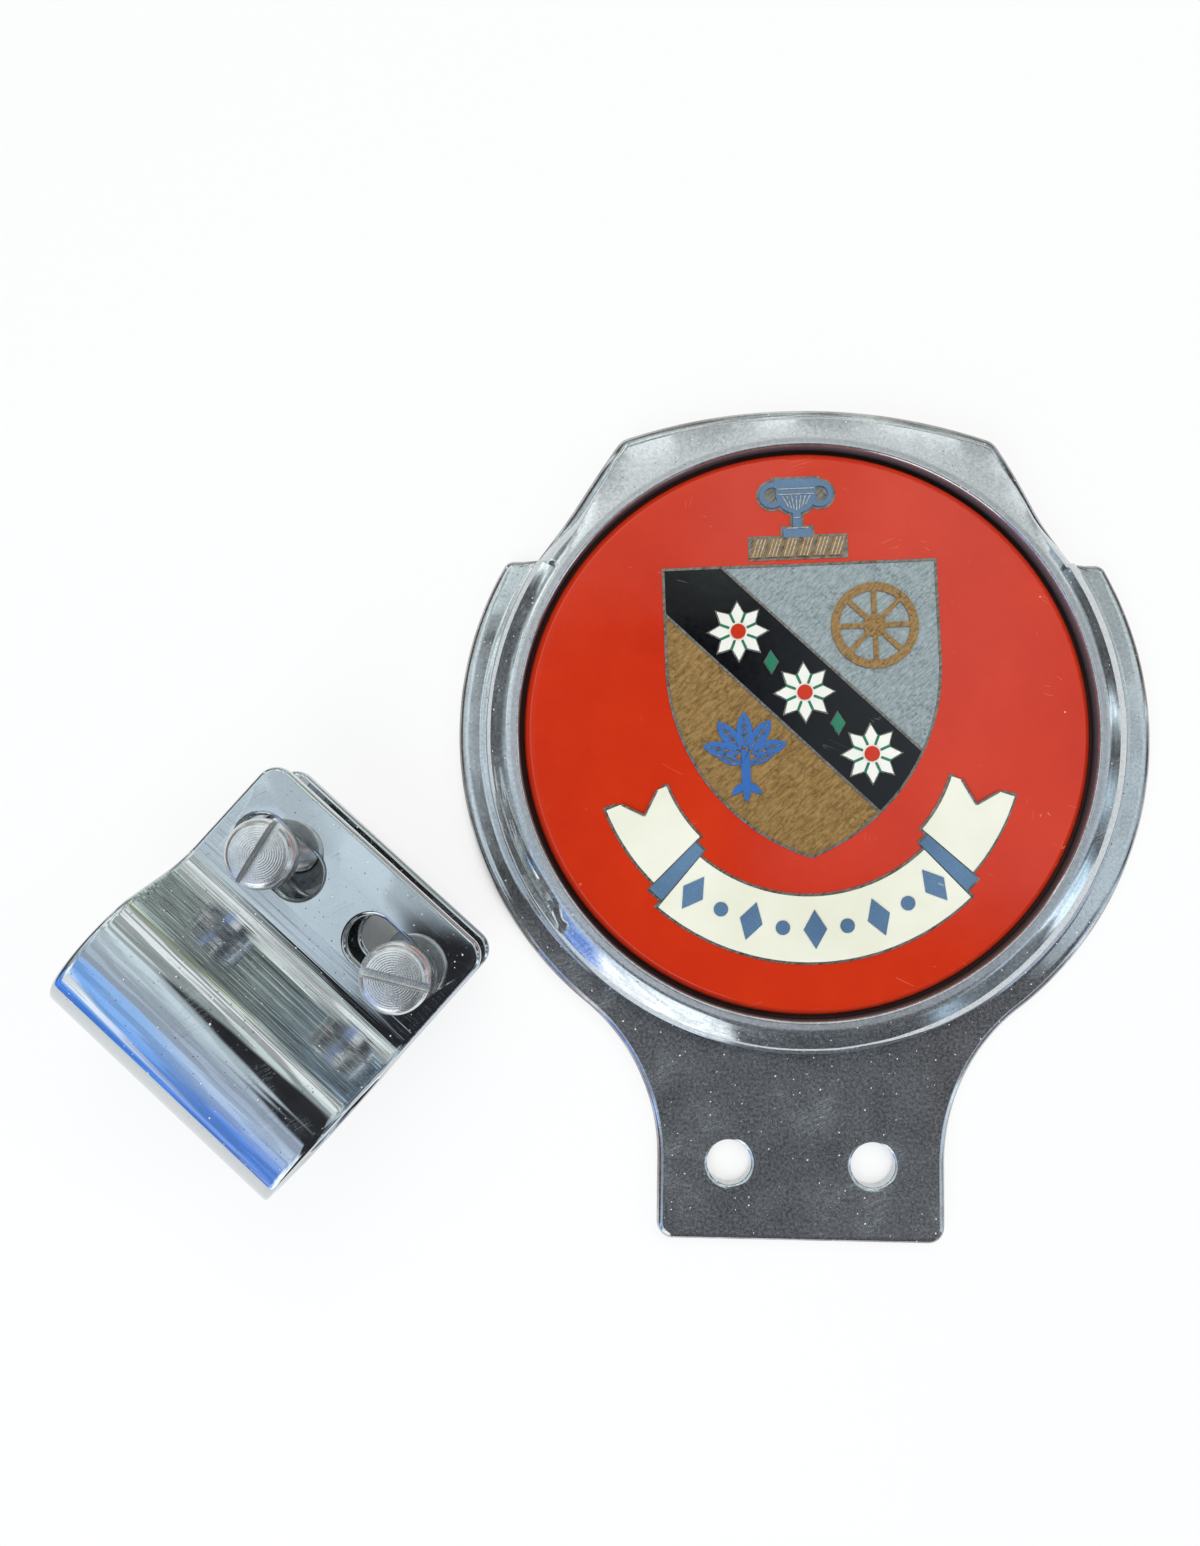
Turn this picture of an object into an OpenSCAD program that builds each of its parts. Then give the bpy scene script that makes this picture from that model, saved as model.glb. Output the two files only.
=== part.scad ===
// Car badge with a struck and enamelled disc in a plated frame, and the folded strap bracket that
// holds it on a badge bar, both lying on one flat surface. Millimetres, +Z up, the badge face up.
// The origin is midway between the two fixing holes, on the frame's back face.

/* [Badge frame] */
// Radius of the round well that the disc lies in
well_r = 38.2; // [34:0.2:42]
// Width of the flat land round the well
land_w = 1.7; // [1.2:0.1:3]
// Width of the rounded bead from the land down to the flange
bead_w = 3; // [2.4:0.1:4]
// Angle that the bead's rounding turns through
bead_turn = 66; // [50:1:80]
// Width of the flat flange outside the slope
flange_w = 3.9; // [3:0.1:6]
// Thickness of the flange and the tab
flange_t = 2.4; // [2:0.1:3]
// Height of the crest round the well above the back face
crest_h = 6.6; // [6.4:0.1:8]
// Distance from the line of the fixing holes to the centre of the round
round_y = 57.5; // [56:0.5:64]
// Height of the shoulders, where the flange ends beside the cap, above the centre of the round
shoulder_y = 23.3; // [20:0.5:26]
// Radius of the shoulders' corners
shoulder_r = 1.5; // [0.5:0.1:2.5]

/* [Cap of the frame] */
// Distance between the centres of the cap's top corners
cap_corner_pitch = 46.8; // [40:0.2:50]
// Height of the cap's top above the centre of the round
cap_rise = 43.6; // [42.5:0.1:48]
// Radius of the cap's curved top edge
cap_crown_r = 76; // [60:1:120]
// Radius of the cap's top corners in plan
cap_corner_r = 2.6; // [1:0.1:4]
// Wall left round the hollow behind the cap
cap_wall = 2.4; // [1.8:0.1:3]
// Metal left over the hollow behind the cap
cap_skin = 2; // [1.4:0.1:2.6]

/* [Tab and fixing holes] */
// Width of the tab
tab_w = 38.1; // [34:0.1:44]
// Distance from the line of the fixing holes to the tab's end
tab_foot = 10.2; // [8:0.1:14]
// Radius of the tab's corners
tab_corner_r = 2.2; // [1:0.1:4]
// Radius of the necks between the tab and the round
neck_r = 26; // [16:0.5:32]
// Distance between the two fixing holes
hole_pitch = 19.05; // [16:0.05:24]
// Radius of the fixing holes
hole_r = 2.9; // [2.6:0.1:3.3]
// Depth of the dimple round each fixing hole
dimple_d = 0.35; // [0.2:0.05:0.6]

/* [Disc] */
// Gap between the disc's edge and the wall of the well
well_gap = 1.1; // [0.5:0.1:1.6]
// Thickness of the web that the disc lies on
web_t = 1.2; // [1:0.1:1.4]
// Depth of the hollow behind the web
recess_d = 2.5; // [2.3:0.1:2.7]
// Width of the back rim left round the hollow
back_rim = 2.2; // [1.6:0.1:4]
// Thickness of the struck blank under the enamel
blank_t = 1.2; // [1:0.1:1.3]
// Thickness of the enamel
enamel_t = 0.6; // [0.4:0.05:0.7]
// How far the blank's edge lies inside the enamel's
blank_in = 0.5; // [0.3:0.1:1]
// Radius of the enamel's rounded edge
edge_r = 0.5; // [0.2:0.05:0.55]
// Width of the struck metal lines
line_w = 0.35; // [0.3:0.05:0.7]
// How far the metal lines stand above the enamel
line_up = 0.1; // [0.05:0.05:0.2]
// Angle that the disc is turned by in its well
disc_turn = 2.7; // [-5:0.1:5]

/* [Arms on the disc] */
// Width of the shield
shield_w = 36.7; // [32:0.1:38]
// Height of the shield's top edge above the disc's centre
shield_top = 22.4; // [20:0.1:23]
// Height of the shield from top edge to tip
shield_h = 39.4; // [36:0.1:42]
// Height of the straight part of the shield's sides
shield_side = 13.5; // [8:0.1:16]
// Width of the slanting band across the shield
band_w = 9.8; // [8:0.1:11]
// Height at which the middle of the band crosses the disc's upright
band_y = 5; // [3:0.1:7]
// Number of points on each star
star_points = 8; // [5:1:10]
// Point radius of the stars on the band
star_r = 3.9; // [2.8:0.1:4]
// Share of the point radius at which a star's notches lie
star_notch = 0.62; // [0.4:0.01:0.7]
// Distance between two stars
star_pitch = 12; // [10:0.1:13]
// Radius of the round stud in each star
stud_r = 1; // [0.7:0.05:1.2]
// Length of the lozenges between the stars
lozenge_l = 3; // [2:0.1:3.6]
// Radius of the wheel
wheel_r = 5.8; // [4.5:0.1:6.2]
// Width of the wheel's rim
wheel_rim = 1.1; // [0.8:0.05:1.5]
// Number of spokes in the wheel
wheel_spokes = 8; // [6:1:10]
// Height of the tree
tree_h = 12.1; // [9:0.1:12.6]
// How far a charge stands above the field under it
charge_t = 0.25; // [0.15:0.05:0.4]

/* [Crest and scroll] */
// Length of the twisted torse above the shield
torse_l = 12.6; // [10:0.1:15]
// Thickness of the torse
torse_h = 2.6; // [1.4:0.1:2.8]
// Number of twists in the torse
torse_twists = 6; // [4:1:8]
// Radius of the cup's bowl
bowl_r = 2.7; // [2:0.1:3]
// Width of the cup's foot
cup_foot_w = 3.8; // [2.6:0.1:4.6]
// Width of the cup's stem
cup_stem_w = 1.1; // [0.8:0.1:1.6]
// Height of the cup's foot, and of its lip
cup_lip_h = 0.9; // [0.6:0.1:1.1]
// Outer radius of the cup's handles
handle_r = 1.75; // [1.3:0.05:2]
// Thickness of the cup's handles
handle_t = 0.7; // [0.5:0.05:0.9]
// Height of the cup
cup_h = 7.6; // [7:0.1:8.4]
// Inner radius of the scroll
scroll_in = 22; // [21:0.1:23]
// Width of the scroll's ribbon
scroll_w = 8.6; // [6:0.1:9]
// Half of the angle that the scroll's front part takes
scroll_half = 42; // [34:0.5:46]
// Angle that each fold of the scroll takes
fold_angle = 5; // [4:0.5:7]
// Angle that each tail of the scroll takes
tail_angle = 23; // [16:0.5:26]
// How much nearer the disc's centre the tails lie than the front part
tail_shift = 2; // [1:0.1:3]
// Number of marks along the scroll
scroll_marks = 9; // [5:2:13]

/* [Fixing of the disc] */
// Radius of the studs on the back of the disc
disc_stud_r = 1.5; // [1.2:0.05:1.7]
// Distance of each stud from the disc's centre
disc_stud_x = 24; // [18:0.5:30]
// How far each stud stands out of its nut
stud_proud = 0.3; // [0.1:0.05:0.4]
// Width across the flats of the thin nuts on the studs
disc_nut_af = 5.5; // [5:0.1:6.5]
// Thickness of the thin nuts
disc_nut_t = 1.8; // [1.4:0.1:1.9]

/* [Strap bracket] */
// Width of the strap, along the bar
strap_w = 36; // [34:0.5:44]
// Thickness of the strap
strap_t = 1.8; // [1.4:0.1:2.2]
// Gap between the two legs
leg_gap = 6.7; // [6:0.1:8]
// Length of the flat part of each leg
leg_flat = 15.9; // [15:0.1:20]
// Radius of the legs' free corners
leg_corner_r = 2.7; // [1:0.1:3.5]
// Slope of the ramp between a leg and the loop
ramp_angle = 47; // [40:1:55]
// Length of the straight part of the ramp
ramp_l = 6.4; // [5:0.1:7.5]
// Middle radius of the bend between a leg and its ramp
bend_foot_r = 3.5; // [2.5:0.1:4.5]
// Middle radius of the bend between the ramp and the crown
bend_brow_r = 4.5; // [3:0.1:5.5]
// Middle radius of the crown of the loop
crown_r = 14; // [13:0.5:20]
// Middle radius of the bend at the back of the loop
bend_back_r = 7; // [6:0.1:8]
// Slit at the back of the loop, where the strap's two halves flex
flex_slit = 0.3; // [0.24:0.02:0.5]
// Width of the slots in the legs
slot_w = 6.2; // [5.8:0.1:6.6]
// Distance of the slots' middle line from the legs' free edge
slot_in = 8.5; // [7.5:0.1:9.5]
// Distance from the strap's middle to the centre of each slot's inner end
slot_near = 6.1; // [5.8:0.1:7]
// Distance from the strap's middle to the centre of each slot's outer end
slot_far = 12.3; // [12:0.1:13]
// Place of the middle of the legs' free edge, across the badge
strap_x = -53.7; // [-60:0.1:-53]
// Place of the middle of the legs' free edge, up the badge
strap_y = 40.3; // [30:0.1:50]
// Angle between the bar's line and the line of the fixing holes
strap_turn = -41.2; // [-46:0.1:-36]

/* [Screws, washers and nuts] */
// Radius of the screws' shank
screw_r = 2.5; // [2.3:0.05:2.6]
// Length of a screw under its head
screw_l = 22; // [21:0.5:25]
// Radius of the screws' head
head_r = 4.25; // [3.8:0.05:4.6]
// Height of the screws' head
head_h = 3.3; // [2.8:0.1:4]
// Radius of the head's rounded rim
head_round = 0.9; // [0.4:0.1:1.2]
// Width of the screwdriver slot
driver_w = 1.3; // [1:0.1:1.6]
// Depth of the screwdriver slot
driver_d = 1.5; // [1:0.1:2]
// Place of the left screw along the bar, from the strap's middle
left_x = -9.8; // [-12:0.1:-7]
// Place of the right screw along the bar, from the strap's middle
right_x = 11.8; // [7:0.1:12]
// Angle of the left screw's slot to the bar
left_driver = 101; // [0:1:180]
// Angle of the right screw's slot to the bar
right_driver = 28; // [0:1:180]
// Width across the flats of the nuts
nut_af = 8; // [7:0.1:9]
// Thickness of the nuts
nut_t = 4; // [3:0.1:4.2]
// Radius of the washers
washer_r = 5; // [4.6:0.1:5.5]
// Thickness of the washers
washer_t = 1; // [0.8:0.1:1.2]
// Clearance round a shank in its nut
thread_gap = 0.06; // [0.03:0.01:0.1]
// Clearance round a shank in its washer
washer_gap = 0.15; // [0.1:0.05:0.3]

/* [Hidden] */
$fn = 96;
// Overlap that makes cuts and joins clean
eps = 0.01;
// Step left where an arc runs into a line or another arc
arc_step = 0.02;
plated = "#c9cdd0";
steel = "#b7babb";
bronze = "#8f7040";
red = "#c8371f";
cream = "#e4e2cc";
slate = "#4a6480";

// Frame
land_r = well_r + land_w;
ring_r = land_r + bead_w;
flange_r = ring_r + flange_w;
land_h = crest_h - 0.2;
floor_h = recess_d + web_t;
recess_r = well_r - back_rim;
neck_x = tab_w / 2 + neck_r;
neck_y = round_y - sqrt(pow(flange_r + neck_r, 2) - pow(neck_x, 2));

// Cap: its flanks run from the top corners down to touch the bead's foot
cap_crown_y = cap_rise - cap_crown_r;
cap_corner_x = cap_corner_pitch / 2;
cap_corner_y = cap_crown_y + sqrt(pow(cap_crown_r - cap_corner_r, 2) - pow(cap_corner_x, 2));
cap_touch_r = ring_r + 0.2;
cap_flank_angle = atan2(cap_corner_y, cap_corner_x)
    - acos((cap_touch_r - cap_corner_r) / norm([cap_corner_x, cap_corner_y]));
cap_flank_out = [cos(cap_flank_angle), sin(cap_flank_angle)];
// The flanks run on for this length past where they touch the bead's foot
cap_flank_run = 2.4;

// Section of the bead, from its foot up to the land
bead_steps = 12;
bead = [for (i = [bead_steps:-1:0]) [
    land_r + bead_w * sin(bead_turn * i / bead_steps) / sin(bead_turn),
    land_h - (land_h - flange_t) * (1 - cos(bead_turn * i / bead_steps)) / (1 - cos(bead_turn))]];

// Disc, from the web up
disc_r = well_r - well_gap;
blank_r = disc_r - blank_in;
blank_top = floor_h + blank_t;
face_z = blank_top + enamel_t;
line_z = face_z + line_up;

// Shield: straight sides, then two arcs to the tip
shield_bow_y = shield_top - shield_side;
shield_tip = shield_top - shield_h;
shield_bow_r = (pow(shield_bow_y - shield_tip, 2) + pow(shield_w / 2, 2)) / shield_w;
shield_bow_x = shield_bow_r - shield_w / 2;
// Direction of the band, down to the right
band_angle = -45;
// Shares of the shield's width and top that place the wheel and the tree's foot
wheel_at = [shield_w * 0.265, shield_top * 0.61];
tree_at = [-shield_w * 0.223, -shield_top * 0.3];

// Length and width of the tree's trunk, roots, crown leaves and side leaves
tree_trunk = [0.36, 0.1] * tree_h;
tree_root = [0.25, 0.086] * tree_h;
tree_leaf = [0.41, 0.172] * tree_h;
tree_side_leaf = [0.33, 0.106] * tree_h;
root_spread = 52;
leaf_spread = 38;
side_leaf_spread = 66;
// Radius of the wheel's hub and width of its spokes
hub_r = wheel_r * 0.26;
spoke_w = wheel_rim * 0.6;

// Angle that the notch in each tail of the scroll takes
notch_angle = 6;
// Size of the marks along the scroll, and the angle left free at its ends
mark_l = scroll_w * 0.3;
mark_r = scroll_w * 0.11;
mark_margin = 5;

// Crest
torse_y = shield_top + 0.9 + torse_h / 2;
cup_y = torse_y + torse_h / 2 + line_w;

// Strap: the middle line of its upper half, in distance back from the free edge and height above
// the middle of the loop
leg_mid = (leg_gap + strap_t) / 2;
brow_angle = 18;
fall_angle = 22;
foot_c = [leg_flat, leg_mid + bend_foot_r];
ramp_p = foot_c + bend_foot_r * [sin(ramp_angle), -cos(ramp_angle)];
ramp_q = ramp_p + ramp_l * [cos(ramp_angle), sin(ramp_angle)];
brow_c = ramp_q + bend_brow_r * [sin(ramp_angle), -cos(ramp_angle)];
crown_c = brow_c + (crown_r - bend_brow_r) * [sin(brow_angle), -cos(brow_angle)];
back_c = crown_c + (crown_r - bend_back_r) * [sin(fall_angle), cos(fall_angle)];
wall_s = back_c[0] + bend_back_r;
loop_h = crown_c[1] + crown_r + strap_t / 2;
strap_z = loop_h;
leg_under = strap_z - leg_mid - strap_t / 2;
arc_steps = 12;

// The screws stand on the surface with their tips, and their nuts hold up the lower leg
seat_gap = 0.1;
washer_z = leg_under - seat_gap - washer_t;
nut_z = washer_z - seat_gap / 2 - nut_t;

// Points of an arc round c, from angle a to angle b
function arc(c, r, a, b) = [for (i = [0:arc_steps]) c + r * [cos(a + (b - a) * i / arc_steps),
                                                           sin(a + (b - a) * i / arc_steps)]];

// Outline of the strap's upper half: side is 1 for its outer face and -1 for its inner one
function strap_face(side) = concat(
    [[0, leg_mid + side * strap_t / 2]],
    arc(foot_c, bend_foot_r - side * strap_t / 2, -90, ramp_angle - 90),
    arc(brow_c, bend_brow_r + side * strap_t / 2, ramp_angle + 90, brow_angle + 90),
    arc(crown_c, crown_r + side * strap_t / 2, brow_angle + 90, 90 - fall_angle),
    arc(back_c, bend_back_r + side * strap_t / 2, 90 - fall_angle, 0),
    [[wall_s + side * strap_t / 2, flex_slit / 2]]);

function reverse(v) = [for (i = [len(v) - 1:-1:0]) v[i]];

module at_round() {
    translate([0, round_y, 0]) children();
}

module on_disc(z) {
    at_round() rotate(disc_turn) translate([0, 0, z]) children();
}

// Plan of the flange and the tab
module plan_2d() {
    translate([0, round_y]) shouldered_round();
    translate([-tab_w / 2 + tab_corner_r, -tab_foot]) square([tab_w - 2 * tab_corner_r, round_y]);
    translate([-tab_w / 2, -tab_foot + tab_corner_r]) square([tab_w, tab_foot + neck_y]);
    for (side = [-1, 1]) {
        translate([side * (tab_w / 2 - tab_corner_r), -tab_foot + tab_corner_r]) circle(tab_corner_r);
        difference() {
            polygon([[0, neck_y - eps], [side * neck_x, neck_y - eps], [0, round_y]]);
            translate([side * neck_x, neck_y]) circle(neck_r - arc_step);
        }
    }
}

// The flange's round, which ends at a shoulder beside each flank of the cap
module shouldered_round() {
    corner_x = sqrt(pow(flange_r - shoulder_r, 2) - pow(shoulder_y - shoulder_r, 2));
    intersection() {
        circle(flange_r);
        translate([-flange_r, -flange_r]) square([2 * flange_r, flange_r + shoulder_y - shoulder_r]);
    }
    translate([-corner_x, 0]) square([2 * corner_x, shoulder_y]);
    for (side = [-1, 1]) {
        translate([side * corner_x, shoulder_y - shoulder_r]) circle(shoulder_r);
    }
}

// Plan of the cap, drawn in by inset: a crowned top, two round corners and two straight flanks
module cap_2d(inset) {
    top = [cap_corner_x, cap_corner_y - cap_crown_y] * 2;
    intersection() {
        translate([0, cap_crown_y]) circle(cap_crown_r - inset, $fn = 240);
        polygon([[0, cap_crown_y], [-top[0], cap_crown_y + top[1]], [top[0], cap_crown_y + top[1]]]);
    }
    for (flip = [0, 1]) {
        corner = [cap_corner_x, cap_corner_y];
        along = [-cap_flank_out[1], cap_flank_out[0]];
        mirror([flip, 0]) {
            translate(corner) circle(cap_corner_r - inset - arc_step);
            polygon([[0, 0], (cap_touch_r - inset) * cap_flank_out - cap_flank_run * along,
                     corner + (cap_corner_r - inset) * cap_flank_out, corner, [0, cap_corner_y]]);
        }
    }
}

// Section of the ring round the well: bead and land
module ring_2d() {
    polygon(concat([[recess_r, 0], [ring_r, 0]], bead, [[well_r, crest_h], [well_r, 0]]));
}

module badge_frame() {
    color(plated) difference() {
        union() {
            linear_extrude(flange_t) plan_2d();
            at_round() {
                rotate_extrude() ring_2d();
                translate([0, 0, recess_d]) cylinder(r = well_r, h = web_t);
                linear_extrude(land_h) cap_2d(0);
            }
        }
        at_round() {
            translate([0, 0, floor_h]) cylinder(r = well_r, h = crest_h);
            translate([0, 0, -eps]) cylinder(r = recess_r, h = recess_d + eps);
            translate([0, 0, -eps]) linear_extrude(land_h - cap_skin + eps) difference() {
                cap_2d(cap_wall);
                circle(well_r + cap_wall);
            }
        }
        on_disc(0) for (side = [-1, 1]) {
            translate([side * disc_stud_x, 0, -eps]) cylinder(r = disc_stud_r + washer_gap, h = floor_h + 2 * eps);
        }
        for (side = [-1, 1]) {
            translate([side * hole_pitch / 2, 0, -eps]) cylinder(r = hole_r, h = flange_t + 2 * eps);
            translate([side * hole_pitch / 2, 0, flange_t - dimple_d])
                cylinder(r1 = hole_r, r2 = hole_r + 2 * dimple_d, h = dimple_d + eps);
        }
    }
}

// Shield drawn in by inset
module shield_2d(inset) {
    half_w = shield_w / 2 - inset;
    intersection() {
        translate([-shield_bow_x, shield_bow_y]) circle(shield_bow_r - inset);
        translate([shield_bow_x, shield_bow_y]) circle(shield_bow_r - inset);
        translate([-half_w, shield_tip]) square([2 * half_w, shield_bow_y - shield_tip + eps]);
    }
    translate([-half_w, shield_bow_y]) square([2 * half_w, shield_side - inset]);
}

// Things on the band are placed along it from its middle
module on_band() {
    translate([0, band_y]) rotate(band_angle) children();
}

module band_strip(width) {
    on_band() square([2 * shield_h, width], center = true);
}

// The part of the shield's inside above the band (side 1) or below it (side -1)
module field_2d(side) {
    intersection() {
        shield_2d(line_w);
        on_band() translate([-shield_h, side > 0 ? band_w / 2 + line_w / 2 : -shield_h - band_w / 2 - line_w / 2])
            square([2 * shield_h, shield_h]);
    }
}

module star_2d(r) {
    step = 180 / star_points;
    polygon([for (i = [0:2 * star_points - 1]) (i % 2 == 0 ? r : r * star_notch) * [sin(i * step), cos(i * step)]]);
}

module stars_2d(grow) {
    on_band() for (i = [-1:1]) {
        translate([i * star_pitch, 0]) rotate(-band_angle) star_2d(star_r + 2 * grow);
    }
}

module lozenges_2d(grow) {
    on_band() for (side = [-1, 1]) {
        translate([side * star_pitch / 2, 0]) rotate(-band_angle) scale([0.62, 1]) circle(lozenge_l / 2 + grow, $fn = 4);
    }
}

module wheel_2d() {
    translate(wheel_at) {
        difference() {
            circle(wheel_r);
            circle(wheel_r - wheel_rim);
        }
        circle(hub_r);
        for (i = [0:wheel_spokes - 1]) {
            rotate(i * 360 / wheel_spokes) translate([0, -spoke_w / 2]) square([wheel_r - wheel_rim / 2, spoke_w]);
        }
    }
}

// Pointed leaf between two arcs
module leaf_2d(length, width) {
    bow_r = (pow(length, 2) + pow(width, 2)) / (4 * width);
    intersection() {
        translate([bow_r - width / 2, 0]) circle(bow_r);
        translate([width / 2 - bow_r, 0]) circle(bow_r);
    }
}

// Tree: a trunk on three roots, and a crown of leaves that fan out from its top
module tree_2d() {
    side_leaf_y = tree_trunk[0] / 2;
    crown_y = tree_trunk[0] * 0.85;
    translate(tree_at) {
        translate([0, side_leaf_y]) square([tree_trunk[1], tree_trunk[0]], center = true);
        for (i = [-1:1]) {
            rotate(i * root_spread) translate([0, -tree_root[0] * 0.37]) leaf_2d(tree_root[0], tree_root[1]);
        }
        for (i = [-2:2]) {
            translate([0, crown_y]) rotate(i * leaf_spread) translate([0, tree_leaf[0] * 0.66])
                leaf_2d(tree_leaf[0], tree_leaf[1]);
        }
        for (i = [-1, 1]) {
            translate([0, side_leaf_y]) rotate(i * side_leaf_spread) translate([0, tree_side_leaf[0] * 0.62])
                leaf_2d(tree_side_leaf[0], tree_side_leaf[1]);
        }
    }
}

module torse_2d(grow) {
    translate([0, torse_y]) square([torse_l + 2 * grow, torse_h + 2 * grow], center = true);
}

// Two-handled cup on a stem and foot
module cup_2d(grow) {
    rim_y = cup_h - cup_lip_h;
    lip_w = 2 * bowl_r + handle_t - 0.3;
    translate([0, cup_y]) {
        translate([-cup_foot_w / 2 - grow, -line_w]) square([cup_foot_w + 2 * grow, cup_lip_h + line_w + grow]);
        translate([-cup_stem_w / 2 - grow, 0]) square([cup_stem_w + 2 * grow, rim_y - bowl_r]);
        intersection() {
            translate([0, rim_y - bowl_r * 0.4]) circle(bowl_r + grow);
            translate([-bowl_r - grow, 0]) square([2 * (bowl_r + grow), rim_y]);
        }
        translate([-lip_w / 2 - grow, rim_y - grow]) square([lip_w + 2 * grow, cup_lip_h + 2 * grow]);
        for (side = [-1, 1]) {
            translate([side * (bowl_r + 0.5), rim_y - bowl_r * 0.45]) difference() {
                circle(handle_r + grow);
                if (grow == 0) {
                    circle(handle_r - handle_t);
                }
            }
        }
    }
}

// Sector of a ring between two radii, on each side of straight down, from angle a out to angle b
module sector_2d(r_in, r_out, a, b) {
    intersection() {
        difference() {
            circle(r_out);
            circle(r_in);
        }
        polygon([[0, 0], 2 * r_out * [sin(a), -cos(a)], 2 * r_out * [sin((a + b) / 2), -cos((a + b) / 2)],
                 2 * r_out * [sin(b), -cos(b)]]);
    }
}

module scroll_front_2d(grow) {
    turn = grow / scroll_in * 180 / PI;
    sector_2d(scroll_in - grow, scroll_in + scroll_w + grow, -scroll_half - turn, scroll_half + turn);
}

// A tail of the scroll, with its swallow-tail notch
module scroll_tail_2d(side, grow) {
    turn = grow / scroll_in * 180 / PI;
    r_in = scroll_in - tail_shift;
    r_mid = r_in + scroll_w / 2;
    a = scroll_half + fold_angle;
    b = a + tail_angle;
    cut = side * (b + notch_angle);
    difference() {
        sector_2d(r_in - grow, r_in + scroll_w + grow, side * (a - turn), side * (b + turn));
        polygon([r_mid * [sin(side * (b - notch_angle)), -cos(side * (b - notch_angle))],
                 (r_in - 2 * grow) * 0.96 * [sin(cut), -cos(cut)],
                 (r_in + scroll_w + 2 * grow) * 1.03 * [sin(cut), -cos(cut)]]);
    }
}

// The turned-under piece between the front of the scroll and a tail
module scroll_fold_2d(side) {
    r_in = scroll_in - tail_shift / 2;
    sector_2d(r_in, scroll_in + scroll_w - tail_shift / 2, side * (scroll_half + line_w), side * (scroll_half + fold_angle - line_w));
}

module scroll_2d(grow) {
    scroll_front_2d(grow);
    for (side = [-1, 1]) {
        scroll_tail_2d(side, grow);
        sector_2d(scroll_in - tail_shift / 2 - grow, scroll_in + scroll_w - tail_shift / 2 + grow,
                  side * scroll_half, side * (scroll_half + fold_angle));
    }
}

module marks_2d() {
    r_mid = scroll_in + scroll_w / 2;
    step = 2 * (scroll_half - mark_margin) / (scroll_marks - 1);
    for (i = [0:scroll_marks - 1]) {
        rotate(-scroll_half + mark_margin + i * step) translate([0, -r_mid]) if (i % 2 == 0) {
            scale([0.6, 1]) circle(mark_l, $fn = 4);
        } else {
            circle(mark_r, $fn = 32);
        }
    }
}

// Everything that rises through the red field
module arms_2d() {
    shield_2d(0);
    torse_2d(line_w);
    cup_2d(line_w);
    scroll_2d(line_w);
}

module emblem_disc() {
    color(steel) on_disc(0) {
        translate([0, 0, floor_h]) cylinder(r = blank_r, h = blank_t);
        translate([0, 0, blank_top - eps]) linear_extrude(line_z - blank_top + eps) {
            difference() {
                shield_2d(0);
                shield_2d(line_w);
            }
            intersection() {
                shield_2d(line_w / 2);
                union() {
                    difference() {
                        band_strip(band_w + line_w);
                        band_strip(band_w - line_w);
                    }
                    stars_2d(line_w / 2);
                    lozenges_2d(line_w / 2);
                }
            }
            torse_2d(line_w);
            cup_2d(line_w);
            scroll_2d(line_w);
        }
    }
}

module red_enamel() {
    color(red) on_disc(blank_top) difference() {
        rotate_extrude() {
            square([disc_r - edge_r, enamel_t]);
            square([disc_r, enamel_t - edge_r]);
            intersection() {
                translate([disc_r - edge_r, enamel_t - edge_r]) circle(edge_r, $fn = 48);
                square([disc_r, enamel_t]);
            }
        }
        translate([0, 0, -eps]) linear_extrude(2 * enamel_t) arms_2d();
    }
}

module silver_panel() {
    color("#9aa6a8") on_disc(blank_top) linear_extrude(enamel_t) field_2d(1);
}

module gold_panel() {
    color("#a8823f") on_disc(blank_top) linear_extrude(enamel_t) field_2d(-1);
}

module black_band() {
    color("#0b0b10") on_disc(blank_top) linear_extrude(enamel_t) difference() {
        intersection() {
            shield_2d(line_w);
            band_strip(band_w - line_w);
        }
        stars_2d(line_w / 2);
        lozenges_2d(line_w / 2);
    }
}

module white_stars() {
    color("#eceadd") on_disc(line_z) linear_extrude(charge_t) intersection() {
        stars_2d(0);
        shield_2d(line_w);
    }
}

module red_studs() {
    color(red) on_disc(line_z + charge_t) on_band() for (i = [-1:1]) {
        translate([i * star_pitch, 0]) cylinder(r = stud_r, h = charge_t, $fn = 32);
    }
}

module green_lozenges() {
    color("#2a7a5c") on_disc(line_z) linear_extrude(charge_t) lozenges_2d(0);
}

module bronze_wheel() {
    color(bronze) on_disc(face_z) linear_extrude(charge_t) wheel_2d();
}

module blue_tree() {
    color("#3565a8") on_disc(face_z) linear_extrude(charge_t) tree_2d();
}

module bronze_torse() {
    twist_l = torse_l / torse_twists;
    color(bronze) on_disc(line_z) linear_extrude(charge_t) for (i = [0:torse_twists - 1]) {
        translate([(i - (torse_twists - 1) / 2) * twist_l, torse_y])
            polygon([[-twist_l * 0.62, -torse_h / 2], [twist_l * 0.22, -torse_h / 2],
                     [twist_l * 0.62, torse_h / 2], [-twist_l * 0.22, torse_h / 2]]);
    }
}

module slate_cup() {
    color(slate) on_disc(line_z) linear_extrude(charge_t) cup_2d(0);
}

module cream_scroll() {
    color(cream) on_disc(line_z) linear_extrude(charge_t) {
        scroll_front_2d(0);
        scroll_tail_2d(-1, 0);
        scroll_tail_2d(1, 0);
    }
}

module slate_marks() {
    color(slate) {
        on_disc(line_z + charge_t) linear_extrude(charge_t / 2) marks_2d();
        on_disc(line_z) linear_extrude(charge_t) {
            scroll_fold_2d(-1);
            scroll_fold_2d(1);
        }
    }
}

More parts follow.
